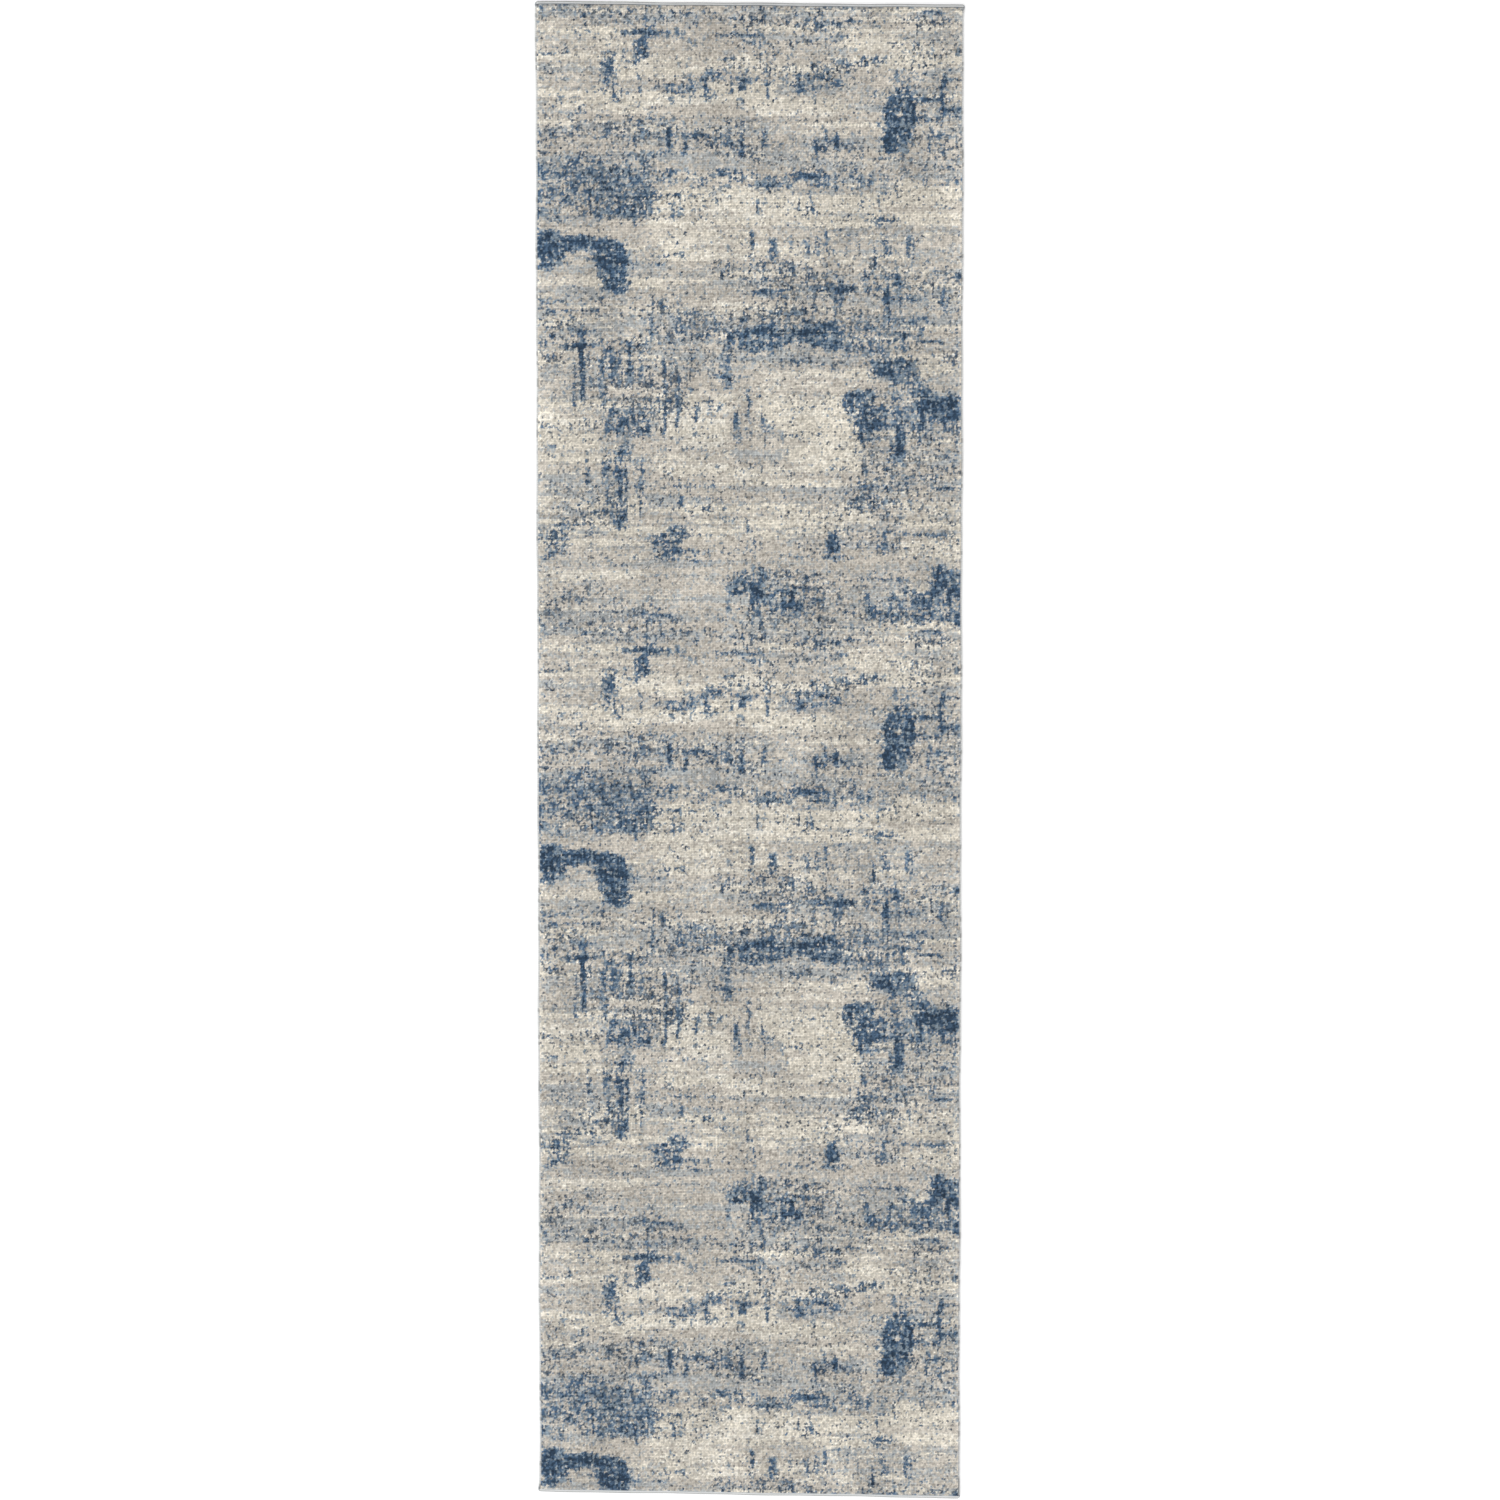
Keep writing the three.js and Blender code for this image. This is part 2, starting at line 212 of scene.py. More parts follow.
def banded_chart(rows: int, columns: int, bands: int, spare: int = 0) -> Array:
    """Maps a long lattice to a square, folded into bands that lie side by side.

    Args:
        rows: Rows of faces, along the form.
        columns: Faces in each row.
        bands: How many bands the rows are folded into.
        spare: Bands left free after them.

    Returns:
        The map of each face's four corners, in the order of lattice_quads.
    """
    margin = 0.002
    per_band = math.ceil(rows / bands)
    row, column = np.divmod(np.arange(rows * columns), columns)
    band = row // per_band
    chart = np.empty((rows * columns, 4, 2))
    for corner, (step_row, step_column) in enumerate([(0, 0), (0, 1), (1, 1), (1, 0)]):
        along = (row - band * per_band + step_row) / per_band
        across = (column + step_column) / columns
        chart[:, corner, 0] = margin + (1 - 2 * margin) * along
        chart[:, corner, 1] = (band + margin + (1 - 2 * margin) * across) / (bands + spare)
    return chart


def swept(rings: Array, bands: int) -> Form:
    """Closes a run of section rings into a solid.

    Args:
        rings: The points of each ring, as (ring, point, xyz), with an even number of points.
        bands: How many bands its map is folded into.

    Returns:
        The closed form, with its faces pointing out.
    """
    count, size = rings.shape[:2]
    sides = lattice_quads(count, size, wrap=True)
    step = np.arange(size // 2 - 1)
    cap = np.stack([step, step + 1, size - 2 - step, size - 1 - step], -1)
    ends = np.concatenate([cap[:, ::-1], cap + (count - 1) * size])
    chart = banded_chart(count - 1, size, bands, spare=1)
    square = np.array([(0, 0), (0, 1), (1, 1), (1, 0)], float)
    cells = (np.arange(len(ends))[:, None, None] * [1, 0] + 0.9 * square) / len(ends)
    cells[:, :, 1] = (bands + 0.9 * square[:, 1]) / (bands + 1)
    form = Form(rings.reshape(-1, 3), np.concatenate([sides, ends]), np.concatenate([chart, cells]))
    return form.outward()


def strand(path: Array, width: Array, height: Array, sides: int = 8, bands: int = 8) -> Form:
    """A thread that lies along a path over flat ground.

    Args:
        path: The thread's middle line.
        width: Its width at each point.
        height: Its height at each point.
        sides: Points round its section.
        bands: Bands of its map.

    Returns:
        The closed thread.
    """
    heading = np.gradient(path, axis=0)
    heading /= np.linalg.norm(heading, axis=1, keepdims=True)
    across = np.cross(heading, [0.0, 0.0, 1.0])
    across /= np.linalg.norm(across, axis=1, keepdims=True)
    up = np.cross(across, heading)
    turn = (np.arange(sides) + 0.5) * 2 * np.pi / sides
    sideways = np.cos(turn)[None, :, None] * across[:, None, :] * (width / 2)[:, None, None]
    upwards = np.sin(turn)[None, :, None] * up[:, None, :] * (height / 2)[:, None, None]
    return swept(path[:, None, :] + sideways + upwards, bands)


def slab(xs: Array, ys: Array, bottom: Array, top: Array, keep: Array | None = None) -> Form:
    """A closed slab over a lattice, with cells left out where keep says so.

    Args:
        xs: Places of the lattice's lines along X.
        ys: Places of the lattice's lines along Y.
        bottom: Height of the underside at each (y, x) point.
        top: Height of the upper side at each (y, x) point.
        keep: Which (y, x) cells the slab has, or None for all.

    Returns:
        The closed slab.
    """
    rows, columns = len(ys), len(xs)
    grid_y, grid_x = np.meshgrid(ys, xs, indexing="ij")
    layers = [placed(grid_x, grid_y, z).reshape(-1, 3) for z in (bottom, top)]
    held = np.ones((rows - 1, columns - 1), bool) if keep is None else keep
    cells = lattice_quads(rows, columns)[held.ravel()]
    above = rows * columns
    faces = [cells[:, ::-1], cells + above]
    index = np.arange(above).reshape(rows, columns)
    padded = np.pad(held, 1)
    for axis in (0, 1):
        step = np.diff(padded.astype(int), axis=axis)
        step = step[:, 1:-1] if axis == 0 else step[1:-1, :]
        starts, ends = (index[:, :-1], index[:, 1:]) if axis == 0 else (index[:-1], index[1:])
        for sign in (1, -1):
            a, b = starts[step == sign], ends[step == sign]
            wall = np.stack([a, b, b + above, a + above], -1)
            faces.append(wall if (sign == 1) == (axis == 0) else wall[:, ::-1])
    return Form(np.concatenate(layers), np.concatenate(faces)).outward()


# ---- finishes


class Recipe:
    """A material's nodes, written a step at a time."""

    def __init__(self, name: str) -> None:
        """Starts an empty material with that name."""
        self.material = bpy.data.materials.new(name)
        self.material.use_nodes = True
        self.tree = self.material.node_tree
        self.tree.nodes.clear()
        self.places = self.node("ShaderNodeTexCoord").outputs["Object"]

    def node(self, kind: str, values: Values | None = None, **settings: object) -> bpy.types.Node:
        """Adds a node.

        Args:
            kind: Blender's name for the node's type.
            values: What each input holds, or the socket that feeds it.
            settings: The node's own settings.

        Returns:
            The node.
        """
        made = self.tree.nodes.new(kind)
        for key, value in settings.items():
            setattr(made, key, value)
        for key, value in (values or {}).items():
            if isinstance(value, Socket):
                self.tree.links.new(value, made.inputs[key])
            else:
                made.inputs[key].default_value = value
        return made

    def attribute(self, name: str, part: str = "Fac") -> Socket:
        """The value of a mesh attribute."""
        return self.node("ShaderNodeAttribute", attribute_name=name).outputs[part]

    def maths(self, operation: str, first: object, second: object) -> Socket:
        """The result of one operation on two numbers."""
        return self.node("ShaderNodeMath", {0: first, 1: second}, operation=operation).outputs["Value"]

    def product(self, *factors: object) -> Socket:
        """The product of some numbers."""
        return reduce(lambda first, second: self.maths("MULTIPLY", first, second), factors)

    def heaped(self, height: Socket, other: Socket, share: float) -> Socket:
        """A height with a share of another one on top."""
        return self.maths("ADD", height, self.product(other, share))

    def between(self, value: Socket, low: float, high: float) -> Socket:
        """A value from 0 to 1, moved to the range from low to high."""
        values = {"Value": value, "To Min": low, "To Max": high}
        return self.node("ShaderNodeMapRange", values).outputs["Result"]

    def turned(self, turn: float) -> Socket:
        """The piece's own coordinates, turned about Z."""
        values = {"Vector": self.places, "Rotation": (0.0, 0.0, turn)}
        return self.node("ShaderNodeMapping", values).outputs["Vector"]

    def noise(self, size: float, detail: float = 2.0) -> Socket:
        """Even noise from 0 to 1, with features of about that size."""
        values = {"Vector": self.places, "Scale": 1 / size, "Detail": detail}
        return self.node("ShaderNodeTexNoise", values).outputs["Fac"]

    def bands(self, pitch: float, direction: str, warp: float, places: Socket | None = None) -> Socket:
        """Soft bands from 0 to 1, across one axis.

        Args:
            pitch: Distance from one band to the next.
            direction: The axis that the bands follow one another along.
            warp: How far the bands wander.
            places: The coordinates to follow, where they aren't the piece's own.

        Returns:
            The bands' value.
        """
        values = {"Vector": places or self.places, "Scale": WAVES_PER_BAND / pitch, "Distortion": warp}
        made = self.node("ShaderNodeTexWave", values, wave_type="BANDS", bands_direction=direction)
        return made.outputs["Fac"]

    def shaded(self, colour: object, factor: Socket) -> Socket:
        """A colour made lighter or darker by a factor."""
        scaled = self.node("ShaderNodeVectorMath", {0: colour, "Scale": factor}, operation="SCALE")
        return scaled.outputs["Vector"]

    def mixed(self, factor: object, first: object, second: object) -> Socket:
        """The first colour, changed to the second as the factor goes to 1."""
        return self.node("ShaderNodeMix", {0: factor, 6: first, 7: second}, data_type="RGBA").outputs[2]

    def bump(self, height: Socket, distance: float) -> Socket:
        """A normal that follows a height."""
        return self.node("ShaderNodeBump", {"Height": height, "Distance": distance}).outputs["Normal"]

    def surface(
        self, colour: object, roughness: object, normal: Socket | None, sheen: float, gloss: float
    ) -> bpy.types.Material:
        """Ends the recipe.

        Args:
            colour: The base colour.
            roughness: The roughness.
            normal: The bumped normal.
            sheen: Weight of the soft fuzz light.
            gloss: Level of the plain reflection.

        Returns:
            The finished material.
        """
        values = {
            "Base Color": colour,
            "Roughness": roughness,
            "Sheen Weight": sheen,
            "Sheen Roughness": SHEEN_ROUGHNESS,
            "Specular IOR Level": gloss,
        }
        if normal is not None:
            values["Normal"] = normal
        shader = self.node("ShaderNodeBsdfPrincipled", values)
        self.node("ShaderNodeOutputMaterial", {"Surface": shader.outputs["BSDF"]})
        return self.material


@dataclass(frozen=True)
class PileFinish:
    """Cut yarn ends, each dyed as the loom card says, with loose fibres and painted shadow between them."""

    name: str = "cut_pile_yarn"
    fibre_size: float = 0.7 * MM
    fibre_light: Range = (0.7, 1.3)
    clump_size: float = 14 * MM
    clump_light: Range = (0.97, 1.03)
    gap_shade: float = 0.47
    fibre_relief: float = 0.5 * MM
    sheen: float = 0.15
    gloss: float = 0.15

    def material(self) -> bpy.types.Material:
        """Makes the material."""
        recipe = Recipe(self.name)
        fibres = recipe.noise(self.fibre_size, detail=3.0)
        loose = recipe.between(fibres, *self.fibre_light)
        clumps = recipe.between(recipe.noise(self.clump_size), *self.clump_light)
        # Painted shadow: the colour darkens down into the gaps between tufts, and down the pile's walls.
        depth = recipe.between(recipe.attribute("depth"), self.gap_shade, 1.0)
        shade = recipe.product(depth, loose, clumps, recipe.attribute("shade"))
        colour = recipe.shaded(recipe.attribute("dyed", "Vector"), shade)
        normal = recipe.bump(fibres, self.fibre_relief)
        return recipe.surface(colour, recipe.between(fibres, 0.86, 1.0), normal, self.sheen, self.gloss)


@dataclass(frozen=True)
class WovenFinish:
    """A plain weave of two yarns that cross at right angles."""

    name: str
    warp_colour: Colour
    weft_colour: Colour
    warp_pitch: float
    weft_pitch: float
    relief: float
    roughness: float
    warp: float = 0.4
    weave_painted_shade: Range = (0.6, 1.08)
    slub_size: float = 20 * MM
    slub_light: Range = (0.9, 1.1)
    sheen: float = 0.1
    gloss: float = 0.2
    reads_tone_and_shade: bool = False

    def material(self) -> bpy.types.Material:
        """Makes the material."""
        recipe = Recipe(self.name)
        warp = recipe.bands(self.warp_pitch, "X", self.warp)
        weft = recipe.bands(self.weft_pitch, "Y", self.warp)
        over = recipe.maths("MAXIMUM", warp, weft)
        fibres = recipe.noise(min(self.warp_pitch, self.weft_pitch) / 3, detail=3.0)
        woven = recipe.mixed(weft, linear(self.warp_colour), linear(self.weft_colour))
        slubs = recipe.between(recipe.noise(self.slub_size), *self.slub_light)
        # Painted shade: the colour is darker in the gaps where neither yarn is on top, and a little lighter
        # on the crossings.
        lights = [recipe.between(over, *self.weave_painted_shade), recipe.between(fibres, *FIBRE_LIGHT), slubs]
        # The shade attribute brings in each point's tone and its painted shade.
        if self.reads_tone_and_shade:
            lights.append(recipe.attribute("shade"))
        colour = recipe.shaded(woven, recipe.product(*lights))
        normal = recipe.bump(recipe.heaped(over, fibres, 0.4), self.relief)
        roughness = recipe.between(fibres, self.roughness - 0.08, self.roughness + 0.08)
        return recipe.surface(colour, roughness, normal, self.sheen, self.gloss)


@dataclass(frozen=True)
class TwistFinish:
    """A twisted yarn or thread that runs along one axis."""

    name: str
    colour: Colour
    twist_pitch: float
    lean: float = 0.6
    relief: float = 0.2 * MM
    roughness: float = 0.75
    ply_painted_shade: Range = (0.72, 1.1)
    sheen: float = 0.15
    gloss: float = 0.3
    reads_tone_and_shade: bool = False

    def material(self) -> bpy.types.Material:
        """Makes the material."""
        recipe = Recipe(self.name)
        plies = recipe.bands(self.twist_pitch, "Y", 0.8, recipe.turned(self.lean))
        fibres = recipe.noise(self.twist_pitch / 2, detail=3.0)
        # Painted shade: the colour is darker in the grooves between the plies.
        lights = [recipe.between(plies, *self.ply_painted_shade), recipe.between(fibres, *FIBRE_LIGHT)]
        # The shade attribute brings in each point's tone and its painted shade.
        if self.reads_tone_and_shade:
            lights.append(recipe.attribute("shade"))
        colour = recipe.shaded(linear(self.colour)[:3], recipe.product(*lights))
        normal = recipe.bump(recipe.heaped(plies, fibres, 0.5), self.relief)
        roughness = recipe.between(fibres, self.roughness - 0.1, self.roughness + 0.1)
        return recipe.surface(colour, roughness, normal, self.sheen, self.gloss)


@dataclass(frozen=True)
class LatexFinish:
    """A thin matt latex film, with the weave showing through and thin places."""

    name: str = "latex_sizing"
    colour: Colour = (214, 206, 188)
    yarn_colour: Colour = (176, 158, 124)
    rib_pitch: float = 2.5 * MM
    relief: float = 0.3 * MM
    gloss: float = 0.35

    def material(self) -> bpy.types.Material:
        """Makes the material."""
        recipe = Recipe(self.name)
        ribs = recipe.bands(self.rib_pitch, "Y", 0.6)
        warps = recipe.bands(self.rib_pitch * 2, "X", 0.6)
        blotches = recipe.noise(30 * MM, detail=4.0)
        grain = recipe.noise(1.2 * MM, detail=4.0)
        thin = recipe.product(ribs, blotches, 0.9)
        film = recipe.mixed(thin, linear(self.colour), linear(self.yarn_colour))
        colour = recipe.shaded(film, recipe.between(grain, 0.88, 1.12))
        height = recipe.heaped(recipe.heaped(ribs, warps, 0.35), grain, 0.3)
        normal = recipe.bump(height, self.relief)
        return recipe.surface(colour, recipe.between(blotches, 0.5, 0.85), normal, 0.0, self.gloss)


@dataclass(frozen=True)
class LabelFinish:
    """Blank satin-woven label cloth."""

    name: str = "satin_label"
    colour: Colour = (240, 239, 234)
    float_pitch: float = 0.5 * MM
    relief: float = 0.05 * MM
    sheen: float = 0.1
    gloss: float = 0.5

    def material(self) -> bpy.types.Material:
        """Makes the material."""
        recipe = Recipe(self.name)
        floats = recipe.bands(self.float_pitch, "DIAGONAL", 0.3)
        fibres = recipe.noise(self.float_pitch)
        shade = recipe.product(recipe.between(floats, 0.9, 1.02), recipe.between(fibres, 0.95, 1.05))
        colour = recipe.shaded(linear(self.colour)[:3], shade)
        normal = recipe.bump(floats, self.relief)
        return recipe.surface(colour, recipe.between(floats, 0.35, 0.6), normal, self.sheen, self.gloss)


@dataclass(frozen=True)
class FloorFinish:
    """A plain, matt, very pale studio floor."""

    name: str = "studio_floor"
    colour: Colour = (250, 250, 250)
    grain_size: float = 40 * MM

    def material(self) -> bpy.types.Material:
        """Makes the material."""
        recipe = Recipe(self.name)
        grain = recipe.between(recipe.noise(self.grain_size), 0.995, 1.005)
        colour = recipe.shaded(linear(self.colour)[:3], grain)
        return recipe.surface(colour, 0.9, None, sheen=0.0, gloss=0.1)


@dataclass(frozen=True)
class Finishes:
    """Every finish of the rug."""

    pile: PileFinish = PileFinish()
    ground: WovenFinish = WovenFinish(
        "jute_ground", (186, 170, 138), (170, 152, 118), 3.0 * MM, 2.5 * MM, 0.4 * MM, 0.9
    )
    latex: LatexFinish = LatexFinish()
    cord: TwistFinish = TwistFinish("cotton_cord", (206, 202, 192), 1.6 * MM)
    edge: TwistFinish = TwistFinish("overedge_yarn", (226, 227, 226), 0.9 * MM, 0.5, sheen=0.2, reads_tone_and_shade=True)
    tape: WovenFinish = WovenFinish(
        "binding_tape", (224, 225, 224), (214, 216, 217), 1.1 * MM, 0.9 * MM, 0.15 * MM, 0.8, reads_tone_and_shade=True
    )
    thread: TwistFinish = TwistFinish(
        "sewing_thread", (150, 158, 166), 0.6 * MM, relief=0.08 * MM, gloss=0.45
    )
    label: LabelFinish = LabelFinish()


# ---- how the rug lies


@dataclass(frozen=True)
class Lay:
    """How the soft rug lies: a little out of square, with slow waves in its edges."""

    half_width: float
    half_length: float
    skew_head: float = 0.0087
    skew_foot: float = 0.0166
    side_wave: float = 0.45 * MM
    side_periods: Range = (0.062, 0.0235)
    end_wave: float = 0.35 * MM
    end_periods: Range = (0.041, 0.0162)
    corner_spread: float = 2.0 * MM
    corner_length: float = 24 * MM

    def settled(self, points: Array) -> Array:
        """Moves points of the square, straight rug to where the real one lies."""
        x, y, z = points.T
        towards_side = np.clip(np.abs(x) / self.half_width, 0, 1.05) ** 6
        towards_end = np.clip(np.abs(y) / self.half_length, 0, 1.05) ** 60
        phase = np.where(x > 0, 0.4, 2.1)
        slow, quick = self.side_periods
        wave = np.sin(y / slow + phase) + 0.7 * np.sin(y / quick + 2.7 * phase)
        moved_x = x + np.sign(x) * towards_side * self.side_wave * wave
        slow, quick = self.end_periods
        ripple = np.sin(x / slow + 1.1) + 0.6 * np.sin(x / quick + 0.3)
        moved_y = y + np.sign(y) * towards_end * self.end_wave * ripple
        along = (y / self.half_length + 1) / 2
        moved_y -= x * (self.skew_foot + (self.skew_head - self.skew_foot) * along)
        near = np.clip((np.abs(y) - self.half_length + self.corner_length) / self.corner_length, 0, 1)
        spread = np.where(x * y > 0, self.corner_spread * near**2, 0.0)
        moved_x += np.sign(x) * towards_side * spread
        return placed(moved_x, moved_y, z)


class Bench:
    """Where forms become pieces of the rug."""

    def __init__(self, lay: Lay, finishes: Finishes) -> None:
        """Keeps how the rug lies, and the finishes, each made once."""
        self.lay = lay
        self.finishes = finishes
        self.materials: dict[str, bpy.types.Material] = {}

    def material(self, finish: object) -> bpy.types.Material:
        """The material of a finish."""
        if finish.name not in self.materials:
            self.materials[finish.name] = finish.material()
        return self.materials[finish.name]

    def piece(self, name: str, form: Form, finish: object, slot: str, *nodes: str) -> bpy.types.Object:
        """Makes a piece that rides on the rug and stands for CAD nodes.

        Args:
            name: The piece's name.
            form: Its shape, before the rug is laid down.
            finish: Its finish.
            slot: The record's material slot; not used.
            nodes: The CAD nodes that it stands for.

        Returns:
            The new object.
        """
        mesh = bpy.data.meshes.new(name)
        count = len(form.quads)
        mesh.vertices.add(len(form.points))
        mesh.loops.add(4 * count)
        mesh.polygons.add(count)
        mesh.vertices.foreach_set("co", self.lay.settled(form.points).astype(np.float32).ravel())
        mesh.loops.foreach_set("vertex_index", form.quads.astype(np.int32).ravel())
        mesh.polygons.foreach_set("loop_start", np.arange(0, 4 * count, 4, dtype=np.int32))
        for key, value in form.point_values.items():
            kind, part = ("FLOAT_VECTOR", "vector") if value.shape[-1] == 3 else ("FLOAT", "value")
            made = mesh.attributes.new(key, kind, "POINT")
            made.data.foreach_set(part, value.astype(np.float32).ravel())
        if form.chart is not None:
            layer = mesh.uv_layers.new(name="OFBake")
            layer.uv.foreach_set("vector", form.chart.astype(np.float32).ravel())
        mesh.update(calc_edges=True)
        mesh.validate()
        mesh.polygons.foreach_set("use_smooth", np.ones(count, bool))
        mesh.materials.append(self.material(finish))
        made = bpy.data.objects.new(name, mesh)
        bpy.context.scene.collection.objects.link(made)
        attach(made, BODY)
        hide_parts(*nodes)
        LOG.info("%s: %d faces, for %s", name, count, ", ".join(nodes))
        return made


# ---- loom card


class Stroke(NamedTuple):
    """A brushed mark on the loom card, in millimetres from the left side and from the repeat's start."""

    left: float
    right: float
    start: float
    end: float
    strength: float


def strokes(*marks: tuple[float, float, float, float, float]) -> list[Stroke]:
    """Strokes from (left, right, start, end, strength)."""
    return [Stroke(*mark) for mark in marks]


CREAM_FIELDS = strokes(
    (0, 130, 35, 62, 0.75),
    (130, 460, 88, 108, 0.85),
    (0, 460, 132, 168, 0.88),
    (475, 640, 30, 98, 0.55),
    (170, 310, 276, 346, 0.95),
    (300, 540, 283, 346, 0.75),
    (545, 654, 276, 346, 0.85),
    (196, 470, 352, 393, 0.6),
    (340, 505, 553, 640, 0.85),
    (180, 290, 595, 712, 0.88),
    (372, 484, 600, 706, 0.92),
    (0, 100, 600, 700, 0.7),
    (230, 520, 765, 805, 0.75),
    (550, 654, 745, 840, 0.6),
    (0, 165, 740, 835, 0.45),
)

HAZE_FIELDS = strokes(
    (0, 290, -8, 34, 0.45),
    (290, 480, -8, 110, 0.55),
    (560, 654, 20, 200, 0.35),
    (0, 360, 180, 240, 0.42),
    (400, 654, 194, 262, 0.38),
    (0, 180, 236, 330, 0.6),
    (280, 654, 392, 470, 0.5),
    (0, 300, 464, 560, 0.52),
    (300, 654, 464, 545, 0.5),
    (50, 220, 556, 650, 0.5),
    (480, 654, 560, 770, 0.36),
    (30, 140, 690, 800, 0.45),
    (380, 560, 735, 830, 0.35),
    (300, 560, 858, 936, 0.5),
    (0, 210, 885, 936, 0.45),
)

BLUE_MASSES = strokes(
    # A cross, the streaks beside it and a blob on the right.
    (125, 215, 38, 52, 0.72),
    (150, 178, 30, 92, 0.76),
    (108, 130, 75, 145, 0.6),
    (455, 532, 79, 92, 0.6),
    (205, 360, 112, 123, 0.52),
    (385, 472, 112, 126, 0.52),
    (521, 567, 152, 226, 0.95),
    (530, 582, 112, 155, 0.5),
    (150, 300, 203, 212, 0.52),
    # A stippled band on the left, with a long thin line.
    (-6, 75, 238, 300, 0.52),
    (70, 180, 240, 290, 0.48),
    (90, 180, 290, 328, 0.55),
    (0, 50, 308, 330, 0.6),
    (180, 420, 256, 273, 0.45),
    (420, 654, 262, 276, 0.36),
    # A blob on the left: two lobes and a tail.
    (4, 80, 348, 382, 0.92),
    (10, 46, 374, 411, 0.8),
    (74, 140, 358, 398, 0.94),
    (100, 128, 390, 436, 0.85),
    # A bar in the middle, what leads up to it and what drips from it.
    (503, 582, 424, 446, 0.45),
    (214, 267, 461, 491, 0.5),
    (294, 482, 487, 520, 0.7),
    (480, 600, 470, 526, 0.42),
    (286, 301, 498, 575, 0.7),
    (508, 590, 538, 564, 0.88),
    (530, 602, 563, 597, 0.58),
    # A patch on the right.
    (578, 652, 583, 628, 0.84),
    (476, 502, 588, 662, 0.75),
    (500, 640, 605, 648, 0.62),
    # A column on the left, two small patches beside it, and the marks near the end.
    (108, 167, 610, 657, 0.6),
    (118, 142, 655, 797, 0.58),
    (178, 217, 798, 842, 0.72),
    (3, 52, 798, 837, 0.58),
    (594, 660, 848, 900, 0.85),
    (560, 660, 890, 942, 0.6),
    (304, 352, 858, 897, 0.72),
    (345, 402, 893, 932, 0.74),
    (498, 547, 903, 932, 0.5),
)

COMBED_ROWS = strokes(
    (110, 600, 100, 155, 0.4),
    (540, 640, 110, 215, 0.5),
    (180, 600, 190, 240, 0.45),
    (60, 560, 284, 330, 0.35),
    (290, 590, 338, 392, 0.75),
    (360, 620, 400, 480, 0.5),
    (40, 210, 475, 640, 0.75),
    (160, 370, 585, 668, 0.8),
    (440, 600, 640, 705, 0.4),
    (30, 330, 680, 800, 0.5),
    (240, 560, 790, 850, 0.3),
    (250, 600, 872, 936, 0.5),
)


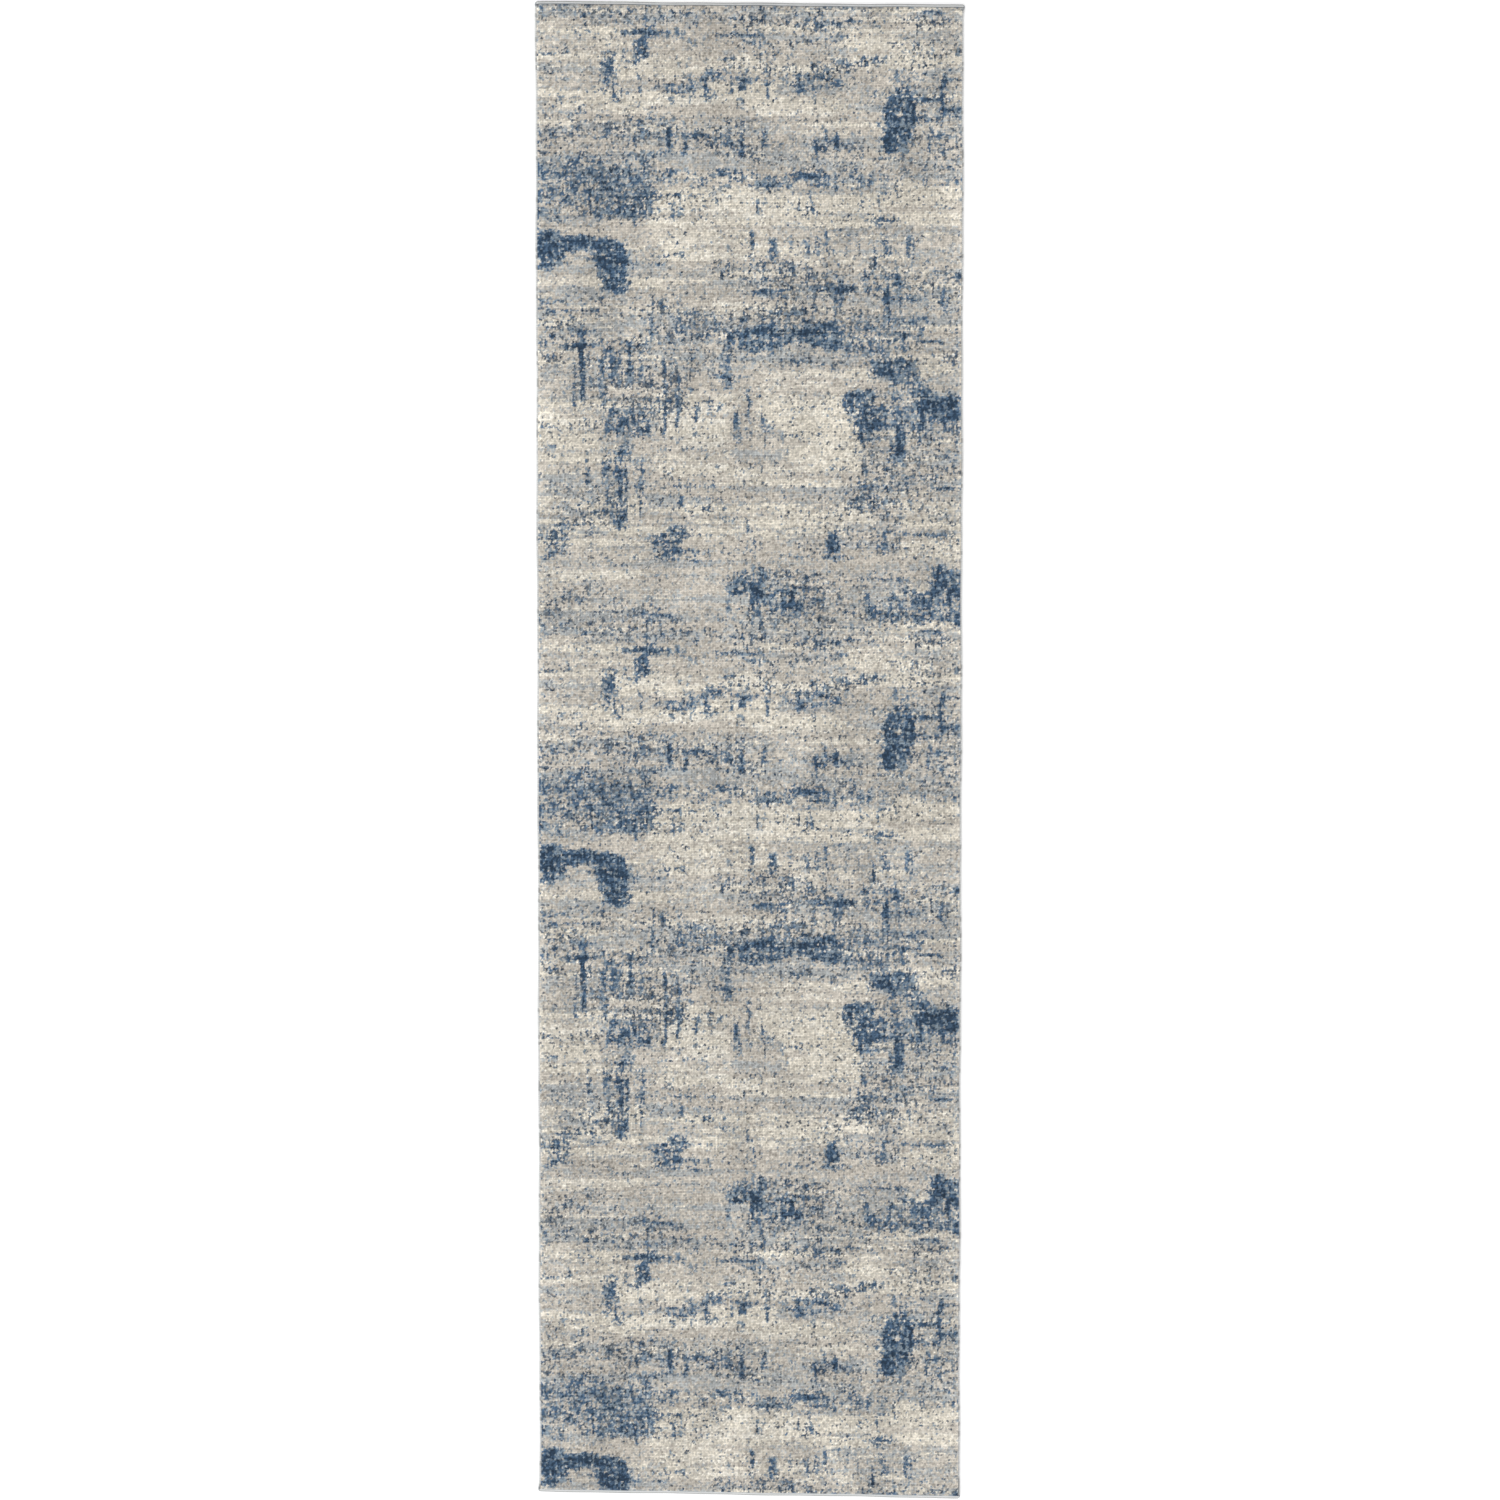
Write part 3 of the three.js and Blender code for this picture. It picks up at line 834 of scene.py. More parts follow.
@dataclass
class LoomCard:
    """Says which yarn each tuft is cut from: brushed strokes, broken up tuft by tuft as on a loom.

    The sizes of strokes, ticks and dashes are in millimetres, as in Stroke.
    """

    columns: int
    pitch_x: float
    pitch_y: float
    repeat: float = 936 * MM
    seed: int = 20
    start_x: float = 3.5
    start_y: float = 5.5
    tick_pitch: float = 11.0
    tick_width: Range = (3.5, 10.0)
    tick_strength: Range = (0.4, 0.95)
    dashes: int = 110
    dash_length: Range = (16.0, 80.0)
    dash_width: Range = (4.0, 9.0)
    dash_strength: Range = (0.35, 0.8)
    blue_scatter: float = 0.03
    haze_scatter: float = 0.13
    cream_scatter: float = 0.12
    speckle: float = 0.42
    soft_sides: float = 10.0
    soft_ends: float = 5.0
    solid_blue: float = 0.42
    navy_depth: float = 0.5
    denim_depth: float = 0.2
    rows: int = field(init=False)

    def __post_init__(self) -> None:
        """Draws the noise that all the fields share."""
        self.rows = round(self.repeat / self.pitch_y)
        self.random = np.random.default_rng(self.seed)
        across = (np.arange(self.columns) + 0.5) * self.pitch_x / MM + self.start_x
        along = (np.arange(self.rows) + 0.5) * self.repeat / self.rows / MM + self.start_y
        self.v, self.u = np.meshgrid(along, across, indexing="ij")
        self.drift_u = 6 * self._slow(6, 4) + 2 * self._slow(2.4, 1.6)
        self.drift_v = 4.5 * self._slow(4, 7) + 2 * self._slow(1.6, 2.4)

    def _slow(self, rows: float, columns: float) -> Array:
        """Slow noise about 0, with a spread of 1."""
        noise = soften(self.random.standard_normal((self.rows, self.columns)), rows, columns)
        return noise / noise.std()

    def _breakup(self, single: float, clump: float, dash: float, tick: float, line: float) -> Array:
        """Noise from 0 to 1 that breaks a field up along both ways of the weave.

        Args:
            single: Share of single tufts.
            clump: Share of small round clumps.
            dash: Share of short dashes across the rug.
            tick: Share of short ticks along the rug.
            line: Share of long lines across the rug.

        Returns:
            The noise, spread evenly.
        """
        mixed = single * self._slow(0.2, 0.2) + clump * self._slow(0.9, 1.0)
        mixed += dash * self._slow(0.25, 2.0) + tick * self._slow(2.0, 0.25)
        mixed += line * self._slow(1.2, 20)
        return spread_evenly(mixed)

    def _combed(self) -> list[Stroke]:
        """Short upright ticks that hang side by side in each combed row, and loose dashes between them."""
        marks, draw = [], self.random.uniform
        for row in COMBED_ROWS:
            height = row.end - row.start
            for _ in range(round(row.strength * (row.right - row.left) / self.tick_pitch)):
                left, start = draw(row.left, row.right), row.start + height * draw(-0.1, 0.5)
                right, end = left + draw(*self.tick_width), start + draw(16, 0.8 * height)
                marks.append(Stroke(left, right, start, end, draw(*self.tick_strength)))
        for _ in range(self.dashes):
            left, start = draw(-20, 640), draw(0, self.repeat / MM)
            right, end = left + draw(*self.dash_length), start + draw(*self.dash_width)
            marks.append(Stroke(left, right, start, end, draw(*self.dash_strength)))
        return marks

    def _cover(self, marks: list[Stroke], floor: float, drift: float = 1.0) -> Array:
        """How much of each place a list of strokes covers.

        Args:
            marks: The strokes.
            floor: The cover where there is no stroke.
            drift: How freely the strokes' edges wander.

        Returns:
            The cover of each tuft, from 0 to 1.
        """
        bare = np.full(self.u.shape, 1 - floor)
        length = self.repeat / MM
        u, v = self.u + drift * self.drift_u, self.v + drift * self.drift_v
        for mark in marks:
            half_u, half_v = (mark.right - mark.left) / 2, (mark.end - mark.start) / 2
            soft_u, soft_v = min(self.soft_sides, 0.6 * half_u), min(self.soft_ends, 0.6 * half_v)
            off_u = np.abs(u - mark.left - half_u)
            off_v = np.abs((v - mark.start - half_v + length / 2) % length - length / 2)
            inside_u = np.clip((half_u - off_u) / (2 * soft_u) + 0.5, 0, 1)
            inside_v = np.clip((half_v - off_v) / (2 * soft_v) + 0.5, 0, 1)
            bare *= 1 - mark.strength * inside_u * inside_v
        return 1 - bare

    def yarns(self) -> Array:
        """The place of each tuft's yarn in the list of yarns, as (row, column)."""
        order = {yarn: place for place, yarn in enumerate(Yarn)}
        tone = self._breakup(0.7, 0.3, 0.3, 0.1, 0.6)
        ground = self._breakup(0.22, 0.1, 0.3, 0.05, 0.7)
        specks = self._breakup(0.9, 0.3, 0.45, 0.55, 0.25)
        breakup = self._breakup(0.9, 0.45, 0.45, 0.6, 0.2)
        patchy = np.clip(1 + 0.45 * self._slow(5, 12), 0.1, 1.9)
        cream = self._cover(CREAM_FIELDS, self.cream_scatter) * np.clip(patchy, 0.75, 1.15)
        haze = self._cover(HAZE_FIELDS, self.haze_scatter)
        combed = self._cover(self._combed(), self.blue_scatter, drift=0.15)
        combed *= np.clip(0.5 + 1.2 * haze, 0, 1)
        blue = 1 - (1 - self._cover(BLUE_MASSES, 0.0)) * (1 - combed)
        speckled = self.speckle * (1.25 * haze - 0.04) * patchy
        depth = blue - breakup
        chosen = np.full(tone.shape, order[Yarn.WARM_GREY])
        for yarn, here in (
            (Yarn.COOL_GREY, tone < 0.25 + 0.3 * haze),
            (Yarn.CREAM, ground > 1 - cream),
            (Yarn.IVORY, (ground > 1 - cream) & (tone > 0.75)),
            (Yarn.SLATE, specks < speckled),
            (Yarn.PALE_BLUE, specks < 0.45 * speckled),
            (Yarn.DENIM, specks < 0.34 * speckled),
            (Yarn.NAVY, specks < 0.12 * speckled),
            (Yarn.PALE_BLUE, specks < 1.5 * (blue - self.solid_blue)),
            (Yarn.PALE_BLUE, depth > 0),
            (Yarn.DENIM, depth > self.denim_depth * (0.4 + tone)),
            (Yarn.NAVY, depth > self.navy_depth * (0.6 + 0.8 * specks)),
        ):
            chosen[here] = order[yarn]
        return chosen


# ---- the pile


@dataclass
class Pile:
    """The cut pile: tufts in rows, made in strips that run the rug's length."""

    bench: Bench
    columns: int = 260
    rows: int = 910
    strips: int = 10
    seed: int = 7
    tuft_unevenness: float = 0.3 * MM
    roll_height: float = 0.12 * MM
    top_margin: float = 0.25 * MM
    sunk_floor: float = 0.1 * MM
    row_seam: float = 0.65 * MM
    column_seam: float = 0.4 * MM
    gap_depth: float = 1.3 * MM
    wander: float = 0.42 * MM
    crown: float = 2.4 * MM
    crown_reach: float = 5 * MM
    wall_bulge: float = 0.45 * MM
    wall_steps: int = 2
    # Painted light near the long sides: how much lighter the outermost tufts are, and over how many tufts it
    # fades.
    painted_side_light: float = 0.2
    painted_side_light_reach: float = 3.0
    tuft_shade: float = 0.2
    row_shade: float = 0.05
    shade_range: Range = (0.5, 1.28)

    def build(self) -> list[bpy.types.Object]:
        """Builds the strips, and dresses them in the loom card's yarns."""
        low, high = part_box("pile")
        card = LoomCard(self.columns, (high.x - low.x) / self.columns, (high.y - low.y) / self.rows)
        random = np.random.default_rng(self.seed)
        points, depth = self._lattice(low, high, random)
        dyed, shade = self._dress(card, random)
        made = []
        per_strip = 2 * self.columns // self.strips
        for strip in range(self.strips):
            first = 0 if strip == 0 else self.wall_steps + strip * per_strip
            last = self.wall_steps + (strip + 1) * per_strip
            last += self.wall_steps if strip == self.strips - 1 else 0
            held = np.s_[:, first : last + 1]
            rows, columns = points[held].shape[:2]
            quads, chart = lattice_quads(rows, columns), banded_chart(rows - 1, columns - 1, bands=6)
            form = Form(points[held].reshape(-1, 3), quads, chart)
            form.point_values["dyed"] = dyed[held].reshape(-1, 3)
            form.point_values["shade"] = shade[held].ravel()
            form.point_values["depth"] = depth[held].ravel()
            name = f"pile_strip_{strip + 1:02d}"
            made.append(self.bench.piece(name, form, self.bench.finishes.pile, "pile_yarn", "pile"))
        return made

    def _line(self, low: float, high: float, count: int) -> tuple[Array, Array]:
        """Places of the lattice's lines along one axis, and how many steps down the wall each lies."""
        steps = np.arange(1, self.wall_steps + 1)
        places = np.linspace(low, high, 2 * count + 1)
        down = np.concatenate([steps[::-1], np.zeros(len(places), int), steps])
        return np.pad(places, self.wall_steps, mode="edge"), down

    def _lattice(self, low: Vector, high: Vector, random: np.random.Generator) -> tuple[Array, Array]:
        """The points of the whole pile.

        Args:
            low: The pile's lowest corner.
            high: Its highest corner.
            random: Where the unevenness comes from.

        Returns:
            The points, as (row, column, xyz), and how open each is to the light, from 0 to 1.
        """
        xs, down_x = self._line(low.x, high.x, self.columns)
        ys, down_y = self._line(low.y, high.y, self.rows)
        y, x = np.meshgrid(ys, xs, indexing="ij")
        wall_y, wall_x = np.meshgrid(down_y, down_x, indexing="ij")
        shape = (self.rows + 2, self.columns + 2)
        tufts = self.tuft_unevenness * random.standard_normal(shape)
        rolls = soften(random.standard_normal(shape), 10, 6)
        tufts += self.roll_height * rolls / rolls.std()
        between_rows = (tufts[:-1] + tufts[1:]) / 2
        height = np.empty((2 * self.rows + 1, 2 * self.columns + 1))
        height[1::2, 1::2] = tufts[1:-1, 1:-1]
        height[1::2, 0::2] = (tufts[1:-1, :-1] + tufts[1:-1, 1:]) / 2 - self.column_seam
        height[0::2, 1::2] = between_rows[:, 1:-1] - self.row_seam
        height[0::2, 0::2] = (between_rows[:, :-1] + between_rows[:, 1:]) / 2 - self.gap_depth
        pad = self.wall_steps
        height = np.pad(height, pad, mode="edge")
        top = high.z - self.top_margin + height
        inset = np.minimum(np.minimum(x - low.x, high.x - x), np.minimum(y - low.y, high.y - y))
        shoulder = np.clip(1 - inset / self.crown_reach, 0, 1)
        top -= self.crown * (1 - np.sqrt(1 - shoulder**2 * 0.96))
        wall = np.maximum(wall_x, wall_y)
        floor = low.z - self.sunk_floor
        z = np.where(wall == 0, top, top + (floor - top) * wall / self.wall_steps)
        bulge = self.wall_bulge * (1 - wall / self.wall_steps)
        tuft_row = np.arange(len(ys)) % 2 == (pad + 1) % 2
        tuft_column = np.arange(len(xs)) % 2 == (pad + 1) % 2
        on_tuft = np.where(wall_x >= wall_y, tuft_row[:, None], tuft_column[None, :])
        push = np.where(on_tuft, bulge, -bulge)
        x = x + np.where(wall_x > 0, np.sign(x) * push, 0.0)
        y = y + np.where(wall_y > 0, np.sign(y) * push, 0.0)
        x = x + self.wander * random.uniform(-1, 1, x.shape)
        y = y + self.wander * random.uniform(-1, 1, y.shape)
        # Painted shadow, read by the pile's material: points low in the gaps get darker colour, and points
        # down the walls darker still.
        depth = np.clip(1 + (height - tufts.mean()) / self.gap_depth, 0, 1.2)
        depth = np.where(wall > 0, depth * (1 - 0.25 * wall), depth)
        return placed(x, y, z), depth

    def _dress(self, card: LoomCard, random: np.random.Generator) -> tuple[Array, Array]:
        """Gives each point of the lattice its tuft's dye; where tufts meet, one of them wins.

        Args:
            card: Where the yarns come from.
            random: Where the shades and the winners come from.

        Returns:
            The linear colour of each point, and how light it is: a random shade for each tuft and row, with
            painted light on the tufts near the long sides.
        """
        tufts = card.yarns()[np.arange(self.rows)[::-1] % card.rows]
        light = 1 + self.tuft_shade * random.standard_normal(tufts.shape)
        light *= 1 + self.row_shade * random.standard_normal((self.rows, 1))
        light = np.clip(light, *self.shade_range)
        # Painted light: the tufts next to the long sides are made lighter, fading over a few tufts inwards.
        inset = np.minimum(np.arange(self.columns), np.arange(self.columns)[::-1])
        light *= 1 + self.painted_side_light * np.exp(-inset / self.painted_side_light_reach)
        row, column = np.indices((2 * self.rows + 1, 2 * self.columns + 1))
        row = np.clip((row - random.integers(0, 2, row.shape)) // 2, 0, self.rows - 1)
        column = np.clip((column - random.integers(0, 2, column.shape)) // 2, 0, self.columns - 1)
        dyes = np.array([linear(yarn.value)[:3] for yarn in Yarn])
        pad = (self.wall_steps, self.wall_steps)
        dyed = np.pad(dyes[tufts[row, column]], (pad, pad, (0, 0)), mode="edge")
        return dyed, np.pad(light[row, column], (pad, pad), mode="edge")


# ---- cloth and back


@dataclass
class Back:
    """The woven ground cloth, the latex on its back, and the care label."""

    bench: Bench
    rib_pitch: float = 2.5 * MM
    rib_height: float = 0.12 * MM
    pocket_margin: float = 1 * MM
    lines: int = 14
    label_buckle: float = 0.04 * MM
    stitch: float = 3 * MM
    stitch_points: int = 6
    thread_width: float = 0.6 * MM

    def build(self, on_cloth: list[bpy.types.Object]) -> None:
        """Builds the three, and the label's stitches.

        Args:
            on_cloth: The pieces that the ground cloth carries; not used.
        """
        coating = self._coating()
        label = self._label()
        cloth = self._cloth()
        stitching = self._label_stitching()

    def _ribs(self, low: Vector, high: Vector) -> Array:
        """Places along Y of the crests and the troughs of the weft ribs."""
        return np.linspace(low.y, high.y, 2 * round((high.y - low.y) / self.rib_pitch) + 1)

    def _rib(self, ys: Array, xs: Array) -> Array:
        """Height of the weft ribs at each (y, x) place."""
        crest = self.rib_height * (0.5 + 0.5 * np.cos(2 * np.pi * ys / self.rib_pitch))
        return np.repeat(crest[:, None], len(xs), axis=1)

    def _cloth(self) -> bpy.types.Object:
        """The ground cloth: a slab with weft ribs on both faces."""
        node = "ground_cloth"
        low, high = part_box(node)
        xs, ys = np.linspace(low.x, high.x, self.lines), self._ribs(low, high)
        rib = self._rib(ys, xs)
        form = slab(xs, ys, low.z + self.rib_height - rib, high.z - self.rib_height + rib)
        return self.bench.piece("woven_ground", form, self.bench.finishes.ground, "ground_yarn", node)

    def _coating(self) -> bpy.types.Object:
        """The latex film, with the pocket that the label lies in."""
        low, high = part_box("back_coating")
        label_low, label_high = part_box("care_label")
        pocket_x = (label_low.x - self.pocket_margin, label_high.x + self.pocket_margin)
        pocket_y = (label_low.y - self.pocket_margin, label_high.y + self.pocket_margin)
        xs, ys = np.unique([*np.linspace(low.x, high.x, self.lines), *pocket_x]), self._ribs(low, high)
        for edge in pocket_y:
            ys[np.abs(ys - edge).argmin()] = edge
        middle_x, middle_y = (xs[:-1] + xs[1:]) / 2, (ys[:-1] + ys[1:]) / 2
        in_x = (middle_x > pocket_x[0]) & (middle_x < pocket_x[1])
        in_y = (middle_y > pocket_y[0]) & (middle_y < pocket_y[1])
        rib = self._rib(ys, xs)
        form = slab(xs, ys, low.z + rib, np.full(rib.shape, high.z), ~(in_y[:, None] & in_x[None, :]))
        return self.bench.piece("latex_back", form, self.bench.finishes.latex, "latex", "back_coating")

    def _label(self) -> bpy.types.Object:
        """The blank label, with the slight buckle of a sewn one."""
        low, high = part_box("care_label")
        xs = np.linspace(low.x, high.x, 26)
        ys = np.linspace(low.y, high.y, 36)
        y, x = np.meshgrid(ys, xs, indexing="ij")
        buckle = self.label_buckle * np.sin(x / (7 * MM)) * np.sin(y / (9 * MM))
        middle = (low.z + high.z) / 2
        form = slab(xs, ys, low.z + self.label_buckle + buckle, np.full(x.shape, middle) + self.label_buckle)
        return self.bench.piece("blank_label", form, self.bench.finishes.label, "label_cloth", "care_label")

    def _label_stitching(self) -> bpy.types.Object:
        """One round of stitches near the label's edge."""
        node = "care_label_stitching"
        low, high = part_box(node)
        inset, count = self.thread_width / 2, self.stitch_points
        left, right, start, end = low.x + inset, high.x - inset, low.y + inset, high.y - inset
        corners = [(left, start), (right, start), (right, end), (left, end)]
        arch = np.sin(np.linspace(0.15, math.pi - 0.15, count))
        z = high.z - (high.z - low.z) * 0.5 * arch
        width, height = np.full(count, self.thread_width), (high.z - low.z) * (0.4 + 0.6 * arch)
        form = None
        for (x0, y0), (x1, y1) in zip(corners, corners[1:] + corners[:1]):
            stitches = round(math.hypot(x1 - x0, y1 - y0) / self.stitch)
            for number in range(stitches):
                share = (number + np.linspace(0.08, 0.92, count)) / stitches
                path = placed(x0 + (x1 - x0) * share, y0 + (y1 - y0) * share, z)
                part = strand(path, width, height, sides=6)
                form = part if form is None else form.joined(part)
        form.chart = None
        return self.bench.piece("label_stitches", form, self.bench.finishes.thread, "sewing_thread", node)


# ---- long sides


def folded_section(
    wall: float, top_reach: float, back_stops: Array, height: float, top_steps: int = 3
) -> tuple[Array, Array]:
    """The section of material that is folded round an edge.

    Args:
        wall: The material's thickness.
        top_reach: How far it reaches over the top.
        back_stops: Where its points lie on the back, out to its end.
        height: Height of the folded edge.
        top_steps: Points along its top.

    Returns:
        The outer line and the inner line, each as (distance in from the edge, height) points from the
        top's end round the edge to the back's end.
    """
    lines = []
    for inset in (0.0, wall):
        radius = height / 2 - inset
        turn = np.linspace(np.pi / 2, 3 * np.pi / 2, 9)
        arc = np.stack([height / 2 + radius * np.cos(turn), height / 2 + radius * np.sin(turn)], -1)
        over = np.linspace(top_reach, height / 2, top_steps + 1)[:-1]
        top = np.stack([over, np.full(top_steps, height - inset)], -1)
        back = np.stack([back_stops, np.full(len(back_stops), inset)], -1)
        lines.append(np.concatenate([top, arc, back]))
    return lines[0], lines[1]


@dataclass
class LongSide:
    """An overedged long side: the cord, the yarn wrapped round it, and the thread that holds it."""

    bench: Bench
    side: Side
    wrap_pitch: float = 3.1 * MM
    wrap_relief: float = 0.4 * MM
    wall: float = 0.7 * MM
    top_reach: float = 3.2 * MM
    unevenness: float = 0.16
    slant: float = 0.8
    ridge_places: tuple[float, ...] = (0.0, 0.22, 0.5, 0.78)
    ridge_heights: tuple[float, ...] = (0.0, 0.8, 1.0, 0.8)
    # Painted shade in the groove between wraps, and a little painted highlight on each crest.
    ridge_painted_shade: tuple[float, ...] = (0.72, 1.0, 1.05, 1.0)
    wrap_light: float = 0.07
    # Painted shadow: short dark ticks where the pile meets the yarn, and shade on the yarn's edge next to
    # the pile.
    shadow_tick_share: float = 0.08
    shadow_tick_light: float = 0.5
    pile_side_painted_shade: float = 0.04
    plies: int = 3
    ply_relief: float = 0.1
    cord_twist: float = 5 * MM
    stitch: float = 5 * MM

    def build(self) -> list[bpy.types.Object]:
        """Builds the side's three pieces."""
        return [self._cord(), self._wraps(), self._thread()]

    @property
    def word(self) -> str:
        """The side's name in piece and node names."""
        return self.side.name.lower()

    def _cord(self) -> bpy.types.Object:
        """The twisted cord inside the overedging."""
        node = f"selvedge_cord_{self.word}"
        low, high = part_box(node)
        y = np.linspace(low.y, high.y, 3 * round((high.y - low.y) / self.cord_twist))
        turn = np.arange(4 * self.plies) * 2 * np.pi / (4 * self.plies)
        twist = 2 * np.pi * y[:, None] / (self.plies * self.cord_twist)
        lobes = np.cos(self.plies * (turn[None, :] - twist))
        radius = (high.x - low.x) / 2 * (1 - self.ply_relief + self.ply_relief * lobes)
        middle = (low + high) / 2
        x = middle.x + radius * np.cos(turn)[None, :]
        z = middle.z + radius * np.sin(turn)[None, :]
        form = swept(placed(x, y[:, None], z), bands=16)
        return self.bench.piece(f"twisted_{node}", form, self.bench.finishes.cord, "cord_yarn", node)

    def _wraps(self) -> bpy.types.Object:
        """The overedge yarn: one ridge for each wrap round the edge, with painted shade in the grooves
        between wraps and towards the pile.
        """
        node = f"serging_{self.word}"
        low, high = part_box(node)
        random = np.random.default_rng(31 + self.side.value)
        count = round((high.y - low.y) / self.wrap_pitch)
        lengths = np.clip(1 + self.unevenness * random.standard_normal(count), 0.6, 1.5)
        starts = np.concatenate([[0.0], np.cumsum(lengths)])
        starts = low.y + (high.y - low.y) * starts / starts[-1]
        y = (starts[:-1, None] + np.diff(starts)[:, None] * np.array(self.ridge_places)).ravel()
        y = np.append(y, high.y)
        full = np.clip(0.9 + 0.15 * random.standard_normal(count), 0.5, 1.0)
        raised = np.append((full[:, None] * np.array(self.ridge_heights)).ravel(), 0.0)
        back_stops = np.linspace((high.z - low.z) / 2, high.x - low.x, 5)[1:]
        outer, inner = folded_section(self.wall, self.top_reach, back_stops, high.z - low.z)
        heading = np.gradient(outer, axis=0)
        normal = np.stack([-heading[:, 1], heading[:, 0]], -1)
        normal /= np.linalg.norm(normal, axis=1, keepdims=True)
        inward = -np.sign((normal * (outer - outer.mean(0))).sum()) or 1.0
        sunk = outer[None] + inward * normal[None] * (self.wrap_relief * (1 - raised))[:, None, None]
        loop = np.concatenate([sunk, np.broadcast_to(inner[::-1], (len(y), *inner.shape))], 1)
        slant = np.concatenate([np.linspace(-0.5, 0.5, len(outer)), np.linspace(0.5, -0.5, len(inner))])
        edge = high.x if self.side is Side.RIGHT else low.x
        x = edge - self.side.value * loop[:, :, 0]
        lean = np.clip(np.minimum(y - low.y, high.y - y) / (3 * self.wrap_pitch), 0, 1)
        along = y[:, None] + self.slant * self.wrap_pitch * slant[None, :] * lean[:, None]
        form = swept(placed(x, along, low.z + loop[:, :, 1]), bands=24)
        # Painted shadow ticks: a few wraps, each with its neighbour, are made dark, most of all towards the
        # pile.
        shadow_tick = random.random(count) < self.shadow_tick_share
        light = 1 + self.wrap_light * random.standard_normal(count)
        light = np.where(shadow_tick | np.roll(shadow_tick, 1), self.shadow_tick_light, light)
        light = np.append(np.repeat(light, len(self.ridge_painted_shade)), 1.0)
        light = light * np.append(np.tile(self.ridge_painted_shade, count), self.ridge_painted_shade[0])
        # Painted shade: darker towards the pile side, where the ticks and the random tone of each wrap also
        # count most.
        inner = np.clip(loop[0, :, 0] / self.top_reach, 0, 1) * (loop[0, :, 1] > (high.z - low.z) / 2)
        shade = 1 - (1 - light[:, None]) * (0.35 + 0.65 * inner[None, :])
        form.point_values["shade"] = (shade * (1 - self.pile_side_painted_shade * inner[None, :] ** 2)).ravel()
        return self.bench.piece(f"wrapped_{node}", form, self.bench.finishes.edge, "edge_yarn", node)

    def _thread(self) -> bpy.types.Object:
        """The needle thread on the back: a line of long stitches, pinched at each needle hole."""
        node = f"overedge_thread_{self.word}"
        low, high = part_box(node)
        count = round((high.y - low.y) / self.stitch)
        share = np.linspace(0, count, 6 * count + 1)
        full = 0.55 + 0.45 * np.abs(np.sin(np.pi * share))
        middle, size = (low + high) / 2, high - low
        path = placed(middle.x, low.y + size.y * share / count, high.z - size.z * full / 2)
        form = strand(path, size.x * full, size.z * full, bands=16)
        return self.bench.piece(f"stitched_{node}", form, self.bench.finishes.thread, "sewing_thread", node)


# ---- ends


